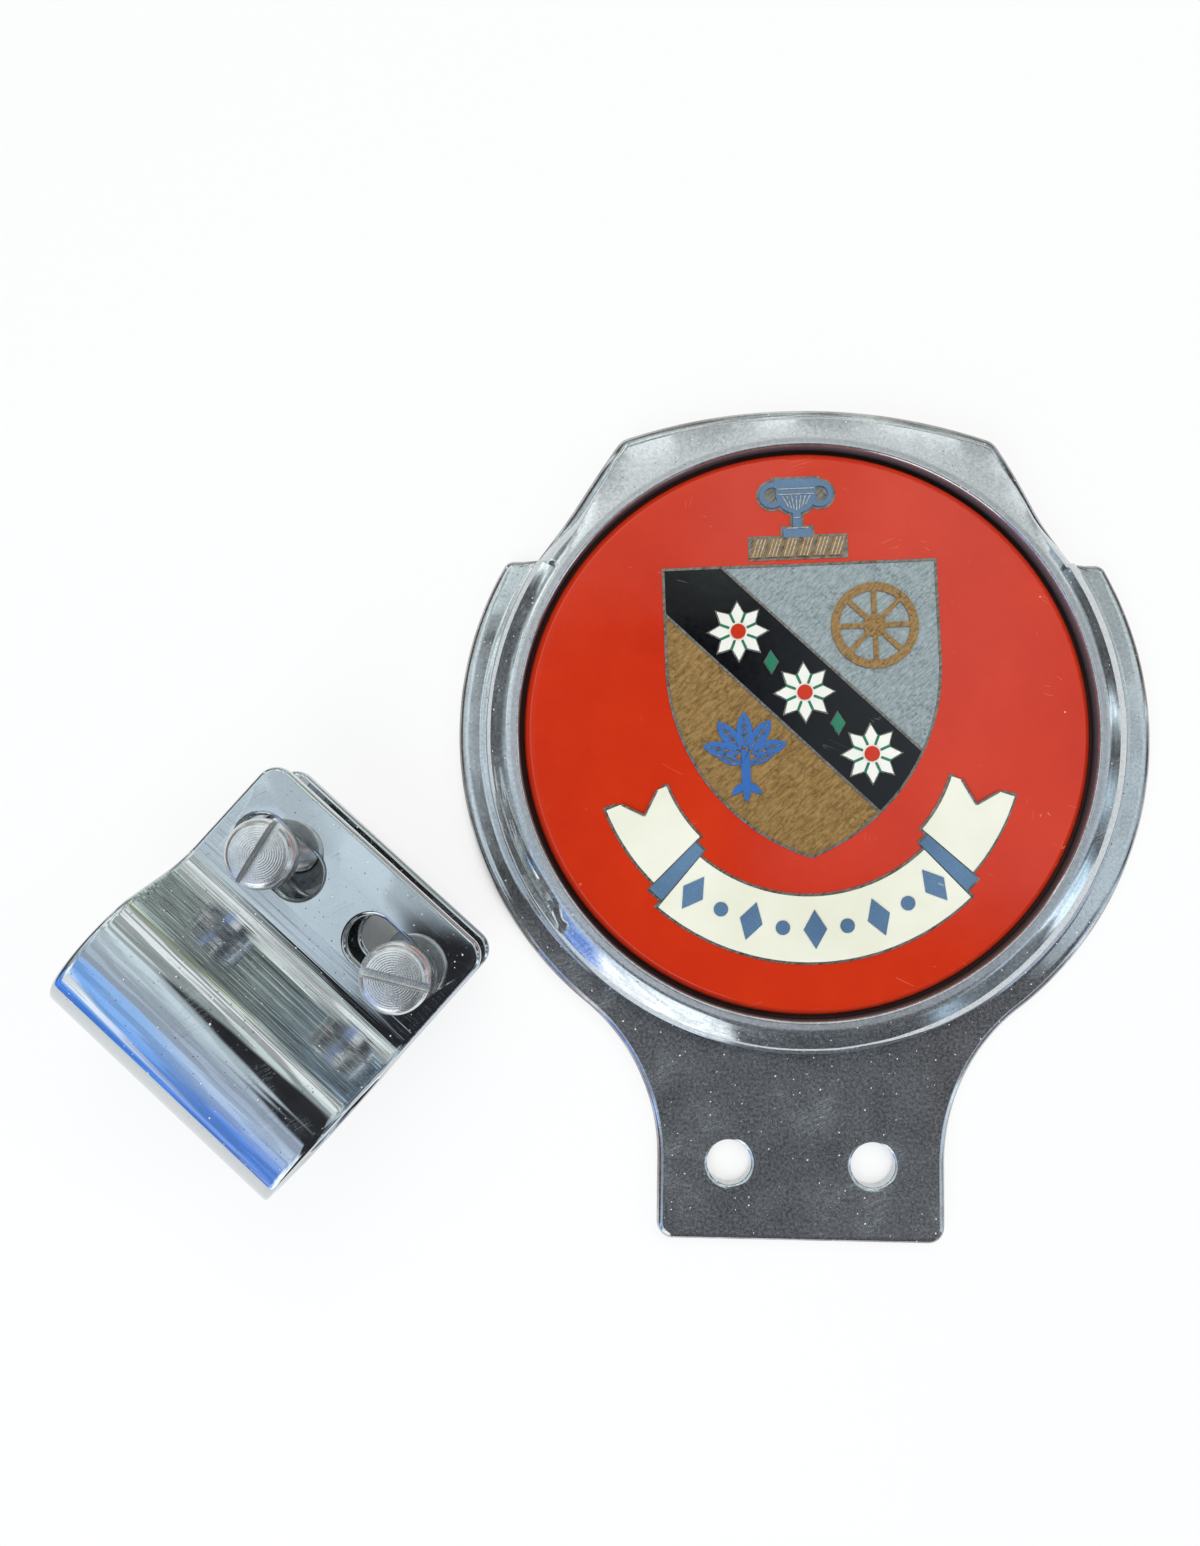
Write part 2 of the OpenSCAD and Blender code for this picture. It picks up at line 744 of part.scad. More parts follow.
module disc_studs() {
    stud_z = recess_d - disc_nut_t - stud_proud;
    color(steel) on_disc(stud_z) for (side = [-1, 1]) {
        translate([side * disc_stud_x, 0, 0]) cylinder(r = disc_stud_r, h = floor_h - stud_z, $fn = 48);
    }
}

// Hexagon nut with its bore and its two bevelled faces
module nut(af, t, bore_r) {
    corner_r = af / sqrt(3);
    bevel = (corner_r - af / 2) * tan(30);
    difference() {
        intersection() {
            cylinder(r = corner_r, h = t, $fn = 6);
            rotate_extrude() polygon([[0, 0], [af / 2, 0], [corner_r, bevel], [corner_r, t - bevel],
                                      [af / 2, t], [0, t]]);
        }
        translate([0, 0, -eps]) cylinder(r = bore_r, h = t + 2 * eps, $fn = 48);
    }
}

module disc_nuts() {
    color(steel) on_disc(recess_d - disc_nut_t) for (side = [-1, 1]) {
        translate([side * disc_stud_x, 0, 0]) nut(disc_nut_af, disc_nut_t, disc_stud_r + thread_gap);
    }
}

// The bracket's own frame: X along the bar, Y out of the legs' free edge, Z up from the surface
module on_bracket() {
    translate([strap_x, strap_y, 0]) rotate(strap_turn) children();
}

module slots_2d() {
    for (side = [-1, 1]) {
        translate([side * slot_near, -slot_in]) circle(slot_w / 2);
        translate([side * slot_far, -slot_in]) circle(slot_w / 2);
        translate([side * (slot_near + slot_far) / 2, -slot_in]) square([slot_far - slot_near, slot_w], center = true);
    }
}

// Plan of the strap, with the legs' free corners rounded and the slots
module strap_plan_2d() {
    depth = wall_s + strap_t;
    difference() {
        union() {
            translate([-strap_w / 2, -depth]) square([strap_w, depth - leg_corner_r]);
            translate([-strap_w / 2 + leg_corner_r, -leg_corner_r - eps]) square([strap_w - 2 * leg_corner_r, leg_corner_r + eps]);
            for (side = [-1, 1]) {
                translate([side * (strap_w / 2 - leg_corner_r), -leg_corner_r]) circle(leg_corner_r);
            }
        }
        slots_2d();
    }
}

// The strap's upper half, above the middle of its loop
module strap_half() {
    intersection() {
        rotate([90, 0, 90]) linear_extrude(strap_w, center = true)
            polygon([for (p = concat(strap_face(1), reverse(strap_face(-1)))) [-p[0], p[1]]]);
        translate([0, 0, -eps]) linear_extrude(loop_h + 1) strap_plan_2d();
    }
}

module strap_upper() {
    color(plated) on_bracket() translate([0, 0, strap_z]) strap_half();
}

module strap_lower() {
    color(plated) on_bracket() translate([0, 0, strap_z]) mirror([0, 0, 1]) strap_half();
}

module screw(driver) {
    tip_bevel = screw_r * 0.2;
    difference() {
        union() {
            translate([0, 0, tip_bevel]) cylinder(r = screw_r, h = screw_l - tip_bevel + eps);
            cylinder(r1 = screw_r - tip_bevel, r2 = screw_r, h = tip_bevel + eps);
            translate([0, 0, screw_l]) rotate_extrude() {
                square([head_r, head_h - head_round]);
                square([head_r - head_round, head_h]);
                translate([head_r - head_round, head_h - head_round]) circle(head_round, $fn = 48);
            }
        }
        translate([0, 0, screw_l + head_h - driver_d / 2 + eps]) rotate(driver)
            cube([3 * head_r, driver_w, driver_d + 2 * eps], center = true);
    }
}

module at_screw(x, z) {
    on_bracket() translate([x, -slot_in, z]) children();
}

module left_screw() {
    color(steel) at_screw(left_x, 0) screw(left_driver);
}

module right_screw() {
    color(steel) at_screw(right_x, 0) screw(right_driver);
}

module washer() {
    difference() {
        cylinder(r = washer_r, h = washer_t);
        translate([0, 0, -eps]) cylinder(r = screw_r + washer_gap, h = washer_t + 2 * eps);
    }
}

module left_washer() {
    color(steel) at_screw(left_x, washer_z) washer();
}

module right_washer() {
    color(steel) at_screw(right_x, washer_z) washer();
}

module left_nut() {
    color(steel) at_screw(left_x, nut_z) nut(nut_af, nut_t, screw_r + thread_gap);
}

module right_nut() {
    color(steel) at_screw(right_x, nut_z) rotate(20) nut(nut_af, nut_t, screw_r + thread_gap);
}

badge_frame();
emblem_disc();
red_enamel();
silver_panel();
gold_panel();
black_band();
white_stars();
red_studs();
green_lozenges();
bronze_wheel();
blue_tree();
bronze_torse();
slate_cup();
cream_scroll();
slate_marks();
disc_studs();
disc_nuts();
strap_lower();
strap_upper();
left_screw();
right_screw();
left_washer();
right_washer();
left_nut();
right_nut();
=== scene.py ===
import collections
from math import atan2, cos, degrees, hypot, radians, sin, sqrt, tau

import bmesh
import bpy
from mathutils import Matrix, Vector


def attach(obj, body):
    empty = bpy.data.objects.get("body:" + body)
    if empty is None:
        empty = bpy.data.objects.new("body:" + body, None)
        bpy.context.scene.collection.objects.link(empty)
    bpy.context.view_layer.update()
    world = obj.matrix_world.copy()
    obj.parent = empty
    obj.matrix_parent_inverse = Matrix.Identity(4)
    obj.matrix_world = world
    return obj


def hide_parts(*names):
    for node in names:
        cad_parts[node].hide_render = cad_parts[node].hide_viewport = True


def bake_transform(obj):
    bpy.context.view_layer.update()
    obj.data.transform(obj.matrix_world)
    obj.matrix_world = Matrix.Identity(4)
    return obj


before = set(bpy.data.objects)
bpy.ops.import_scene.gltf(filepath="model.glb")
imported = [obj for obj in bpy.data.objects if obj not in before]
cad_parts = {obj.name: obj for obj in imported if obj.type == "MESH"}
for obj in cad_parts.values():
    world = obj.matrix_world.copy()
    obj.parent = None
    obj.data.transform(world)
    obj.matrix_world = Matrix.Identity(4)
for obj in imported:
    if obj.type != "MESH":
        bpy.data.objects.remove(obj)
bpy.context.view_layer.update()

MM = 0.001


# The picture. The camera looks down on the badge as it lies, from a little above its middle, so
# that the badge stands upright in the frame and the bracket lies below it on the left.
def put(name, data):
    """A new object in the scene."""
    made = bpy.data.objects.new(name, data)
    bpy.context.collection.objects.link(made)
    return made


camera = put("camera", bpy.data.cameras.new("camera"))
camera_right = Vector((0.99957, 0.01343, -0.02592))
camera_up = Vector((-0.01191, 0.99825, 0.05789))
camera_back = camera_right.cross(camera_up)
camera_turn = Matrix((camera_right, camera_up, camera_back)).transposed().to_4x4()
camera.matrix_world = Matrix.Translation((-0.02320, 0.04260, 0.15903)) @ camera_turn
camera.data.lens = 26.9
camera.data.sensor_width = 36
camera.data.clip_start = 0.01
bpy.context.scene.camera = camera


# The studio. A plain white table, a pale room with a darker end in front, and three soft lamps: one
# low in front on the left, one high behind, and one at the right.
def linear(code):
    """Linear colour of an sRGB hex code; a colour that is a socket or node is left as it is."""
    if not isinstance(code, str):
        return code
    parts = [int(code[i:i + 2], 16) / 255 for i in (1, 3, 5)]
    return (*[c / 12.92 if c <= 0.04045 else ((c + 0.055) / 1.055) ** 2.4 for c in parts], 1.0)


def add(tree, kind, *values, **settings):
    """A new shader node. Its inputs come in order, or by name in a dictionary, and each is a value,
    a socket, or a node, which stands for its first output in use."""
    node = tree.nodes.new("ShaderNode" + kind)
    for name, value in settings.items():
        setattr(node, name, value)
    named = values and isinstance(values[0], dict)
    for name, value in values[0].items() if named else enumerate(values):
        if isinstance(value, bpy.types.Node):
            value = next(socket for socket in value.outputs if socket.enabled)
        if isinstance(value, bpy.types.NodeSocket):
            tree.links.new(value, node.inputs[name])
        else:
            node.inputs[name].default_value = value
    return node


def blank(owner):
    """The empty node tree of a material or of the room."""
    owner.use_nodes = True
    owner.node_tree.nodes.clear()
    return owner.node_tree


def stops(node, *pairs, how="EASE"):
    """Sets a colour ramp's stops, each a place and a grey level or hex colour."""
    ramp = node.color_ramp
    ramp.interpolation = how
    while len(ramp.elements) < len(pairs):
        ramp.elements.new(0.5)
    for element, (place, value) in zip(ramp.elements, pairs):
        element.position = place
        element.color = linear(value) if isinstance(value, str) else (value, value, value, 1)
    return node


def within(tree, *edges, how="LINEAR"):
    """Share of a place within all of some edges. An edge is a value, where it lets nothing through
    and where it lets all through, and what all is, if not 1."""
    share = None
    for value, nothing, full, *most in edges:
        edge = add(tree, "MapRange", value, nothing, full, 0.0, most[0] if most else 1.0,
                   interpolation_type=how)
        share = add(tree, "Math", share, edge, operation="MULTIPLY") if share else edge
    return share


def layered(tree, ground, *layers, blend="MIX"):
    """Colours laid over a ground one after another, each by its share."""
    for share, colour in layers:
        ground = add(tree, "Mix", {0: share, 6: linear(ground), 7: linear(colour)},
                     data_type="RGBA", blend_type=blend)
    return ground


def most_of(tree, *shares):
    """The largest of some shares at each place."""
    largest = shares[0]
    for share in shares[1:]:
        largest = add(tree, "Math", largest, share, operation="MAXIMUM")
    return largest


bpy.context.scene.view_settings.view_transform = "Standard"
table = put("table", bpy.data.meshes.new("table"))
shape = bmesh.new()
table_half, table_drop = 2, 0.00008   # metres; the drop keeps the table off the badge's back
bmesh.ops.create_grid(shape, x_segments=1, y_segments=1, size=table_half)
bmesh.ops.translate(shape, verts=shape.verts, vec=(0, 0, -table_drop))
shape.to_mesh(table.data)
shape.free()
# Painted board, which the camera and the metal see nearly white, with soft shadows left on it, and
# which is dark deep under the bracket, where little of the room's light comes in
board = bpy.data.materials.new("white_painted_board")
tree = blank(board)
path = add(tree, "LightPath")
seen = most_of(tree, path.outputs["Is Camera Ray"], path.outputs["Is Glossy Ray"])
open_air = add(tree, "AmbientOcclusion", {"Distance": 0.030}, samples=8)
reached = add(tree, "MapRange", open_air.outputs["AO"], 0.16, 0.42)
lit_share = add(tree, "Math", seen, reached, operation="MULTIPLY")
lit = add(tree, "BsdfDiffuse", {"Color": (0.8, 0.8, 0.8, 1)})
white = add(tree, "Emission", {"Color": (1, 1, 1, 1), "Strength": 1.0})
share = add(tree, "Math", lit_share, 0.84, operation="MULTIPLY")
both = add(tree, "MixShader", share, lit, white)
add(tree, "OutputMaterial", {"Surface": both})
table.data.materials.append(board)

room = bpy.data.worlds.new("soft_room")
bpy.context.scene.world = room
tree = blank(room)
towards = add(tree, "TexCoord").outputs["Generated"]
ripple = add(tree, "TexNoise", {"Vector": towards, "Scale": 2.6, "Detail": 2.0})
off = add(tree, "VectorMath", ripple.outputs["Color"], (0.5, 0.5, 0.5), operation="SUBTRACT")
small = add(tree, "VectorMath", {0: off, "Scale": 0.11}, operation="SCALE")
warped = add(tree, "VectorMath", towards, small, operation="ADD")
x, y, z = add(tree, "SeparateXYZ", warped).outputs
# Round the horizon: left (0), front (0.25), right (0.5) and back (0.75)
around = add(tree, "TexGradient", {"Vector": warped}, gradient_type="RADIAL").outputs["Fac"]
walls = stops(add(tree, "ValToRGB", around),
              (0.000, "#2a2e30"), (0.020, "#66727a"), (0.045, "#1f2325"), (0.062, "#3a4046"),
              (0.075, "#7fa8ee"), (0.130, "#8fb4f4"), (0.145, "#f4f8fb"), (0.225, "#e9eef1"),
              (0.240, "#1b1c20"), (0.340, "#17181c"), (0.355, "#a9c2d6"), (0.370, "#4f585e"),
              (0.410, "#6b757b"), (0.425, "#dcecf7"), (0.450, "#c3dcee"), (0.462, "#24292e"),
              (0.485, "#b4cad8"), (0.505, "#1c2024"), (0.525, "#d8e6ee"), (0.540, "#1a1d20"),
              (0.575, "#26292c"), (0.595, "#b0c8dc"), (0.640, "#93a9bc"), (0.665, "#b4c2be"),
              (0.710, "#cdd9d3"), (0.800, "#a4b1b1"), (0.870, "#4f5858"), (0.885, "#dbe6e6"),
              (0.905, "#25292b"), (0.970, "#363c3f"), (1.000, "#2a2e30"))
# A blue light on the left in front, with a white streak across it and paler above
streak_z = add(tree, "Math", around, -8.3, 1.20, operation="MULTIPLY_ADD")
streak_off = add(tree, "Math", z, streak_z, operation="SUBTRACT")
streak_place = add(tree, "MapRange", streak_off, -0.5, 0.5)
blue = stops(add(tree, "ValToRGB", streak_place),
             (0.00, "#3f74d8"), (0.30, "#4c8cea"), (0.41, "#86b4f2"), (0.46, "#fbfdff"),
             (0.54, "#f4f9ff"), (0.60, "#7fb0f0"), (0.74, "#8fb4e6"), (0.90, "#b4c6e0"))
deep = within(tree, (around, 0.092, 0.120, 0.85), (z, 0.74, 0.52))
blue_part = within(tree, (around, 0.060, 0.072), (around, 0.150, 0.138))
blue_high = within(tree, (z, 0.84, 0.76), how="SMOOTHSTEP")
blue_share = add(tree, "Math", blue_part, blue_high, operation="MULTIPLY")
cornice = stops(add(tree, "ValToRGB", around),
                (0.00, "#8b969b"), (0.06, "#a3aeba"), (0.14, "#c9d3e0"), (0.22, "#e4ecf2"),
                (0.25, "#3c3f44"), (0.34, "#2a2d32"), (0.38, "#9da9af"), (0.50, "#b7c6cf"),
                (0.62, "#a3b1bb"), (0.68, "#d6e1db"), (0.78, "#c6d2d2"), (0.88, "#9aa6a8"),
                (1.00, "#8b969b"))
# At the back, shelves: bands of light and dark, one above the other
shelves = stops(add(tree, "ValToRGB", z),
                (0.00, 0.60), (0.12, 0.70), (0.15, 0.15), (0.18, 1.00), (0.20, 0.10), (0.24, 0.20),
                (0.26, 1.00), (0.28, 0.15), (0.32, 0.25), (0.34, 1.00), (0.36, 0.20), (0.41, 0.20),
                (0.44, 1.00), (0.49, 0.80), (0.52, 0.25), (0.56, 0.30), (0.60, 1.00), (0.66, 0.85),
                (0.72, 0.50), (0.82, 0.75))
shelf_tone = add(tree, "MapRange", shelves, 0.0, 1.0, 0.06, 1.3)
back_part = within(tree, (around, 0.59, 0.63), (around, 0.91, 0.87))
# Overhead: a pale ceiling, bluer towards the front, with the viewer's dark shape before it
lean = add(tree, "MapRange", y, -0.40, 0.40)
ceiling = stops(add(tree, "ValToRGB", lean),
                (0.12, "#bccbe0"), (0.50, "#c8d5de"), (0.88, "#d3dedd"), (0.93, "#f2f6f5"))
body = most_of(tree, *[within(tree, (x, left - 0.02, left + 0.02), (x, right + 0.04, right - 0.04),
                              (y, back + 0.03, back - 0.02), how="SMOOTHSTEP")
                       for left, right, back in ((-0.26, 0.34, -0.125), (-0.20, -0.10, -0.05),
                                                 (-0.05, 0.34, -0.055), (-0.13, 0.12, 0.19),
                                                 (0.28, 0.48, -0.095))])
sleeve = add(tree, "MapRange", x, 0.18, 0.34)
coat = layered(tree, "#0e0c0f", (ripple, "#2a2a31"), (sleeve, "#2c1e21"))
overhead = layered(tree, ceiling, (body, coat))
# The walls end at a cornice, which is lower over the panes on the right; the window goes up higher
panes = within(tree, (around, 0.37, 0.39), (around, 0.57, 0.55))
rise_z = add(tree, "Math", panes, -0.15, z, operation="MULTIPLY_ADD")
rise = within(tree, (rise_z, 0.48, 0.60), how="SMOOTHSTEP")
window = stops(add(tree, "ValToRGB", around), (0.13, 0.0), (0.15, 1.0), (0.23, 1.0), (0.25, 0.0))
window_low = add(tree, "Math", window, -0.17, z, operation="MULTIPLY_ADD")
high = within(tree, (window_low, 0.64, 0.74), how="SMOOTHSTEP")
blue_deep = layered(tree, blue, (deep, "#4a80dc"))
surround = layered(tree, walls, (rise, cornice), (high, overhead), (blue_share, blue_deep))
curtains = add(tree, "TexWave", {"Vector": towards, "Scale": 1.9, "Distortion": 11.0, "Detail": 4.0,
                                 "Detail Scale": 2.0, "Detail Roughness": 0.6})
folds = add(tree, "MapRange", curtains.outputs["Fac"], 0.28, 0.72, -1.0, 1.0)
swing = add(tree, "MapRange", y, 0.10, 0.26, 0.15, 0.40)
uneven = add(tree, "Math", folds, swing, 1.0, operation="MULTIPLY_ADD")
mottled = layered(tree, surround, (back_part, shelf_tone), (1.0, uneven), blend="MULTIPLY")
# Brighter parts: the window, the blue light, the palest walls, and a ceiling light on the left
below_top = add(tree, "MapRange", high, 0.0, 1.0, 1.0, 0.0)
window_part = add(tree, "Math", window, below_top, operation="MULTIPLY")
pane = add(tree, "MapRange", walls, 0.50, 0.75, 0.0, 0.8)
under_cornice = add(tree, "MapRange", rise, 0.0, 1.0, 1.0, 0.0)
pane_part = add(tree, "Math", pane, under_cornice, operation="MULTIPLY")
blue_gain = add(tree, "Math", blue_share, 0.45, operation="MULTIPLY")
bright = most_of(tree, window_part, blue_gain, pane_part)
panel = within(tree, (x, -0.08, -0.22), (y, -0.13, 0.02), how="SMOOTHSTEP")
panel_light = add(tree, "Math", panel, 0.32, 1.0, operation="MULTIPLY_ADD")
strength = add(tree, "Math", bright, 0.9, panel_light, operation="MULTIPLY_ADD")
glow = add(tree, "Background", mottled, strength)
paper = add(tree, "Background", (1, 1, 1, 1), 1.0)
camera_ray = add(tree, "LightPath").outputs["Is Camera Ray"]
seen_room = add(tree, "MixShader", camera_ray, glow, paper)
add(tree, "OutputWorld", {"Surface": seen_room})

# Lamps: azimuth and elevation from the badge, distance, size and power. The room alone is mirrored
# in the chrome, so the lamps aren't seen there.
lit_spot = Vector((-0.01, 0.05, 0))
for name, azimuth, elevation, distance, size, watts, tint in (
        ("front_softbox", 238, 50, 0.38, 0.24, 0.62, "#f1f5ff"),
        ("back_softbox", 82, 58, 0.70, 0.42, 1.9, "#fff6ea"),
        ("side_strip", 8, 40, 0.70, 0.22, 0.8, "#f4f7ff")):
    lamp = bpy.data.lights.new(name, "AREA")
    lamp.shape = "DISK"
    lamp.size = size
    lamp.energy = watts
    lamp.color = linear(tint)[:3]
    lamp_object = put(name, lamp)
    lamp_object.visible_glossy = False
    a, e = radians(azimuth), radians(elevation)
    out = Vector((cos(a) * cos(e), sin(a) * cos(e), sin(e)))
    lamp_object.location = lit_spot + out * distance
    lamp_object.rotation_euler = out.to_track_quat("Z", "Y").to_euler()


# Frame of the badge: a zinc casting, polished and plated with bright chrome. A rounded bead runs
# round the well of the disc, a cap with sloping flanks stands above it, and a flange all round runs
# down into the tab with its two fixing holes.
round_y = 57.5          # centre of the round above the line of the holes
well_r, land_r = 38.2, 39.5
bead_from, bead_to, bead_wall = 20, 45, 82   # slope of the bead at the land and at its foot
crest_z, land_z, flange_z = 6.6, 6.4, 2.4
floor_z, recess_z, recess_r = 3.7, 2.5, 36.0
flange_r, neck_r, tab_half, tab_end = 46.8, 26.0, 19.05, 67.7
tab_corner_r, hole_r, hole_half = 2.2, 2.9, 9.525
crown_r, crown_y = 76.0, -32.4
corner_x, corner_y, corner_r = 23.4, 37.17, 2.6
flank_angle = 35.05
shoulder_x, shoulder_y, shoulder_r = 39.71, 21.8, 1.5
neck_x = tab_half + neck_r
neck_y = -sqrt((flange_r + neck_r) ** 2 - neck_x ** 2)


def arc(cx, cy, radius, start, end, step=0.45):
    """Points and outward normals along an arc; an end smaller than start runs clockwise."""
    count = max(3, round(abs(radians(end - start)) * radius / step))
    result = []
    for i in range(count):
        a = radians(start + (end - start) * (i + 0.5) / count)
        nx, ny = cos(a), sin(a)
        result.append((cx + radius * nx, cy + radius * ny, nx, ny))
    return result


def straight(x1, y1, x2, y2, normal_angle, step=0.5):
    """Points along a straight edge, between its ends, and its normal."""
    count = max(2, round(hypot(x2 - x1, y2 - y1) / step))
    normal = cos(radians(normal_angle)), sin(radians(normal_angle))
    shares = [(i + 0.5) / count for i in range(count)]
    return [(x1 + (x2 - x1) * share, y1 + (y2 - y1) * share, *normal) for share in shares]


# The right half of the outline, clockwise from the top, in millimetres from the centre of the round
crown_end = degrees(atan2(corner_y - crown_y, corner_x))
lean_cos, lean_sin = cos(radians(flank_angle)), sin(radians(flank_angle))
flank_x, flank_y = corner_x + corner_r * lean_cos, corner_y + corner_r * lean_sin
shoulder_top = shoulder_y + shoulder_r
flank_run = (flank_y - shoulder_y - shoulder_r) / lean_cos
flank_foot_x = flank_x + flank_run * lean_sin
flange_start = degrees(atan2(shoulder_y, shoulder_x))
flange_end = degrees(atan2(neck_y, neck_x))
cap_edge = arc(0, crown_y, crown_r, 90, crown_end)
cap_edge += arc(corner_x, corner_y, corner_r, crown_end, flank_angle, 0.3)
cap_edge += straight(flank_x, flank_y, flank_foot_x, shoulder_top, flank_angle)
flange_edge = straight(flank_foot_x, shoulder_top, shoulder_x, shoulder_top, 90, 0.3)
flange_edge += arc(shoulder_x, shoulder_y, shoulder_r, 90, flange_start, 0.25)
flange_edge += arc(0, 0, flange_r, flange_start, flange_end)
neck = arc(neck_x, neck_y, neck_r, 180 + flange_end, 180)
flange_edge += [(x, y, -nx, -ny) for x, y, nx, ny in neck]
flange_edge += straight(tab_half, neck_y, tab_half, -tab_end + tab_corner_r, 0)
flange_edge += arc(tab_half - tab_corner_r, -tab_end + tab_corner_r, tab_corner_r, 0, -90, 0.25)
flange_edge += straight(tab_half - tab_corner_r, -tab_end, 0, -tab_end, -90)
half = [(True, p) for p in cap_edge] + [(False, p) for p in flange_edge]
outline = half + [(cap, (-x, y, -nx, ny)) for cap, (x, y, nx, ny) in reversed(half)]


def smooth(value, low, high):
    t = min(1, max(0, (value - low) / (high - low)))
    return t * t * (3 - 2 * t)


def mix(a, b, t):
    return a + (b - a) * t


def face_out(shape, faces):
    """Turns the faces of a closed shell outwards, going by the sign of its volume."""
    bmesh.ops.recalc_face_normals(shape, faces=faces)
    shape.normal_update()
    if sum(face.calc_center_median().dot(face.normal) * face.calc_area() for face in faces) < 0:
        bmesh.ops.reverse_faces(shape, faces=faces)


def loft(shape, rings):
    """A closed shell from rings of points, each extruded from the one before."""
    ring = [shape.verts.new(p) for p in rings[0]]
    edges = [shape.edges.new((ring[i - 1], ring[i])) for i in range(len(ring))]
    first = list(edges)
    for points in rings[1:]:
        place = {vert: i for i, vert in enumerate(ring)}
        made = bmesh.ops.extrude_edge_only(shape, edges=edges)["geom"]
        edges = [g for g in made if isinstance(g, bmesh.types.BMEdge)]
        after = [None] * len(ring)
        for vert in (g for g in made if isinstance(g, bmesh.types.BMVert)):
            for edge in vert.link_edges:
                other = edge.other_vert(vert)
                if other in place:
                    after[place[other]] = vert
        for vert, point in zip(after, points):
            vert.co = point
        ring = after
    for rim in (first, edges):
        bmesh.ops.edgeloop_fill(shape, edges=rim)
    face_out(shape, shape.faces[:])


def lathe(shape, section, centre, steps, closed=False):
    """Adds a section of radius and height in millimetres, turned round an upright axis."""
    before = set(shape.faces)
    path = [shape.verts.new(centre + Vector((r, 0, z)) * MM) for r, z in section]
    pairs = zip(path, path[1:] + path[:1]) if closed else zip(path, path[1:])
    edges = [shape.edges.new(pair) for pair in pairs]
    bmesh.ops.spin(shape, geom=path + edges, cent=centre, axis=(0, 0, 1), angle=tau,
                   steps=steps, use_merge=True)
    bmesh.ops.remove_doubles(shape, verts=shape.verts, dist=1e-7)
    face_out(shape, [face for face in shape.faces if face not in before])


def finish_piece(shape, name, material, body, sharp=32):
    """Turns a bmesh into a piece: smooth but for its sharp edges, riding on its body."""
    mesh = bpy.data.meshes.new(name)
    shape.to_mesh(mesh)
    shape.free()
    mesh.shade_smooth()
    mesh.set_sharp_from_angle(angle=radians(sharp))
    piece = put(name, mesh)
    mesh.materials.append(material)
    if body:
        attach(piece, body)
    return piece


def mark(piece, name, values):
    """Gives each vertex of a piece its level of something that the material reads."""
    attribute = piece.data.attributes.new(name, "FLOAT", "POINT")
    attribute.data.foreach_set("value", values)


def shade_evenly(piece):
    """Lets the large faces beside a rounded edge shade flat."""
    even = piece.modifiers.new("even_shading", "WEIGHTED_NORMAL")
    even.keep_sharp = True
    even.weight = 80


def settle(piece):
    """Applies the piece's modifiers to its mesh."""
    graph = bpy.context.evaluated_depsgraph_get()
    mesh = bpy.data.meshes.new_from_object(piece.evaluated_get(graph))
    piece.modifiers.clear()
    piece.data = mesh


def cut(piece, cutter):
    """Cuts a second piece out of the first; the second is then gone."""
    modifier = piece.modifiers.new("cut", "BOOLEAN")
    modifier.object = cutter
    modifier.operation = "DIFFERENCE"
    modifier.solver = "EXACT"
    bpy.context.view_layer.update()
    settle(piece)
    bpy.data.objects.remove(cutter)


def specks(tree, place, cell_mm, share, radius, soft, most=1.0):
    """Round specks of mixed size, one in each of some cells that lie in no rows."""
    dots = add(tree, "TexVoronoi", {"Vector": place, "Scale": 1000 / cell_mm})
    pick = add(tree, "SeparateColor", dots.outputs["Color"])
    size = add(tree, "MapRange", pick, share, 1.0, 0.0, radius)
    inside = add(tree, "Math", size, dots.outputs["Distance"], operation="SUBTRACT")
    return add(tree, "MapRange", inside, 0.0, soft, 0.0, most)


def scores(tree, place, turn, length_mm, width_mm, detail, wide, narrow):
    """Thin lines in one direction, where a stretched noise passes its middle."""
    combed = add(tree, "Mapping", {"Vector": place, "Rotation": (0, 0, turn),
                                   "Scale": Vector((length_mm, width_mm, length_mm)) * MM},
                 vector_type="TEXTURE")
    streak = add(tree, "TexNoise", {"Vector": combed, "Scale": 1.0, "Detail": detail})
    off = add(tree, "Math", streak, 0.5, operation="SUBTRACT")
    near = add(tree, "Math", off, operation="ABSOLUTE")
    return add(tree, "MapRange", near, wide, narrow)


def relief(tree, *layers):
    """Surface normal over heights, each with its strength and depth in micrometres; a negative
    depth is sunk."""
    below = {}
    for height, strength, depth_um in layers:
        normal = add(tree, "Bump", {"Strength": strength, "Distance": abs(depth_um) / 1e6,
                                    "Height": height, **below}, invert=depth_um < 0)
        below = {"Normal": normal}
    return normal


def skin(tree, colour, metallic, roughness, normal, **more):
    """The surface that ends a material."""
    surface = add(tree, "BsdfPrincipled", {"Base Color": colour, "Metallic": metallic,
                                           "Roughness": roughness, "Normal": normal, **more})
    add(tree, "OutputMaterial", {"Surface": surface})


def begin(name):
    """A new material, its empty node tree, and the object's own coordinates in it."""
    material = bpy.data.materials.new(name)
    tree = blank(material)
    return material, tree, add(tree, "TexCoord").outputs["Object"]


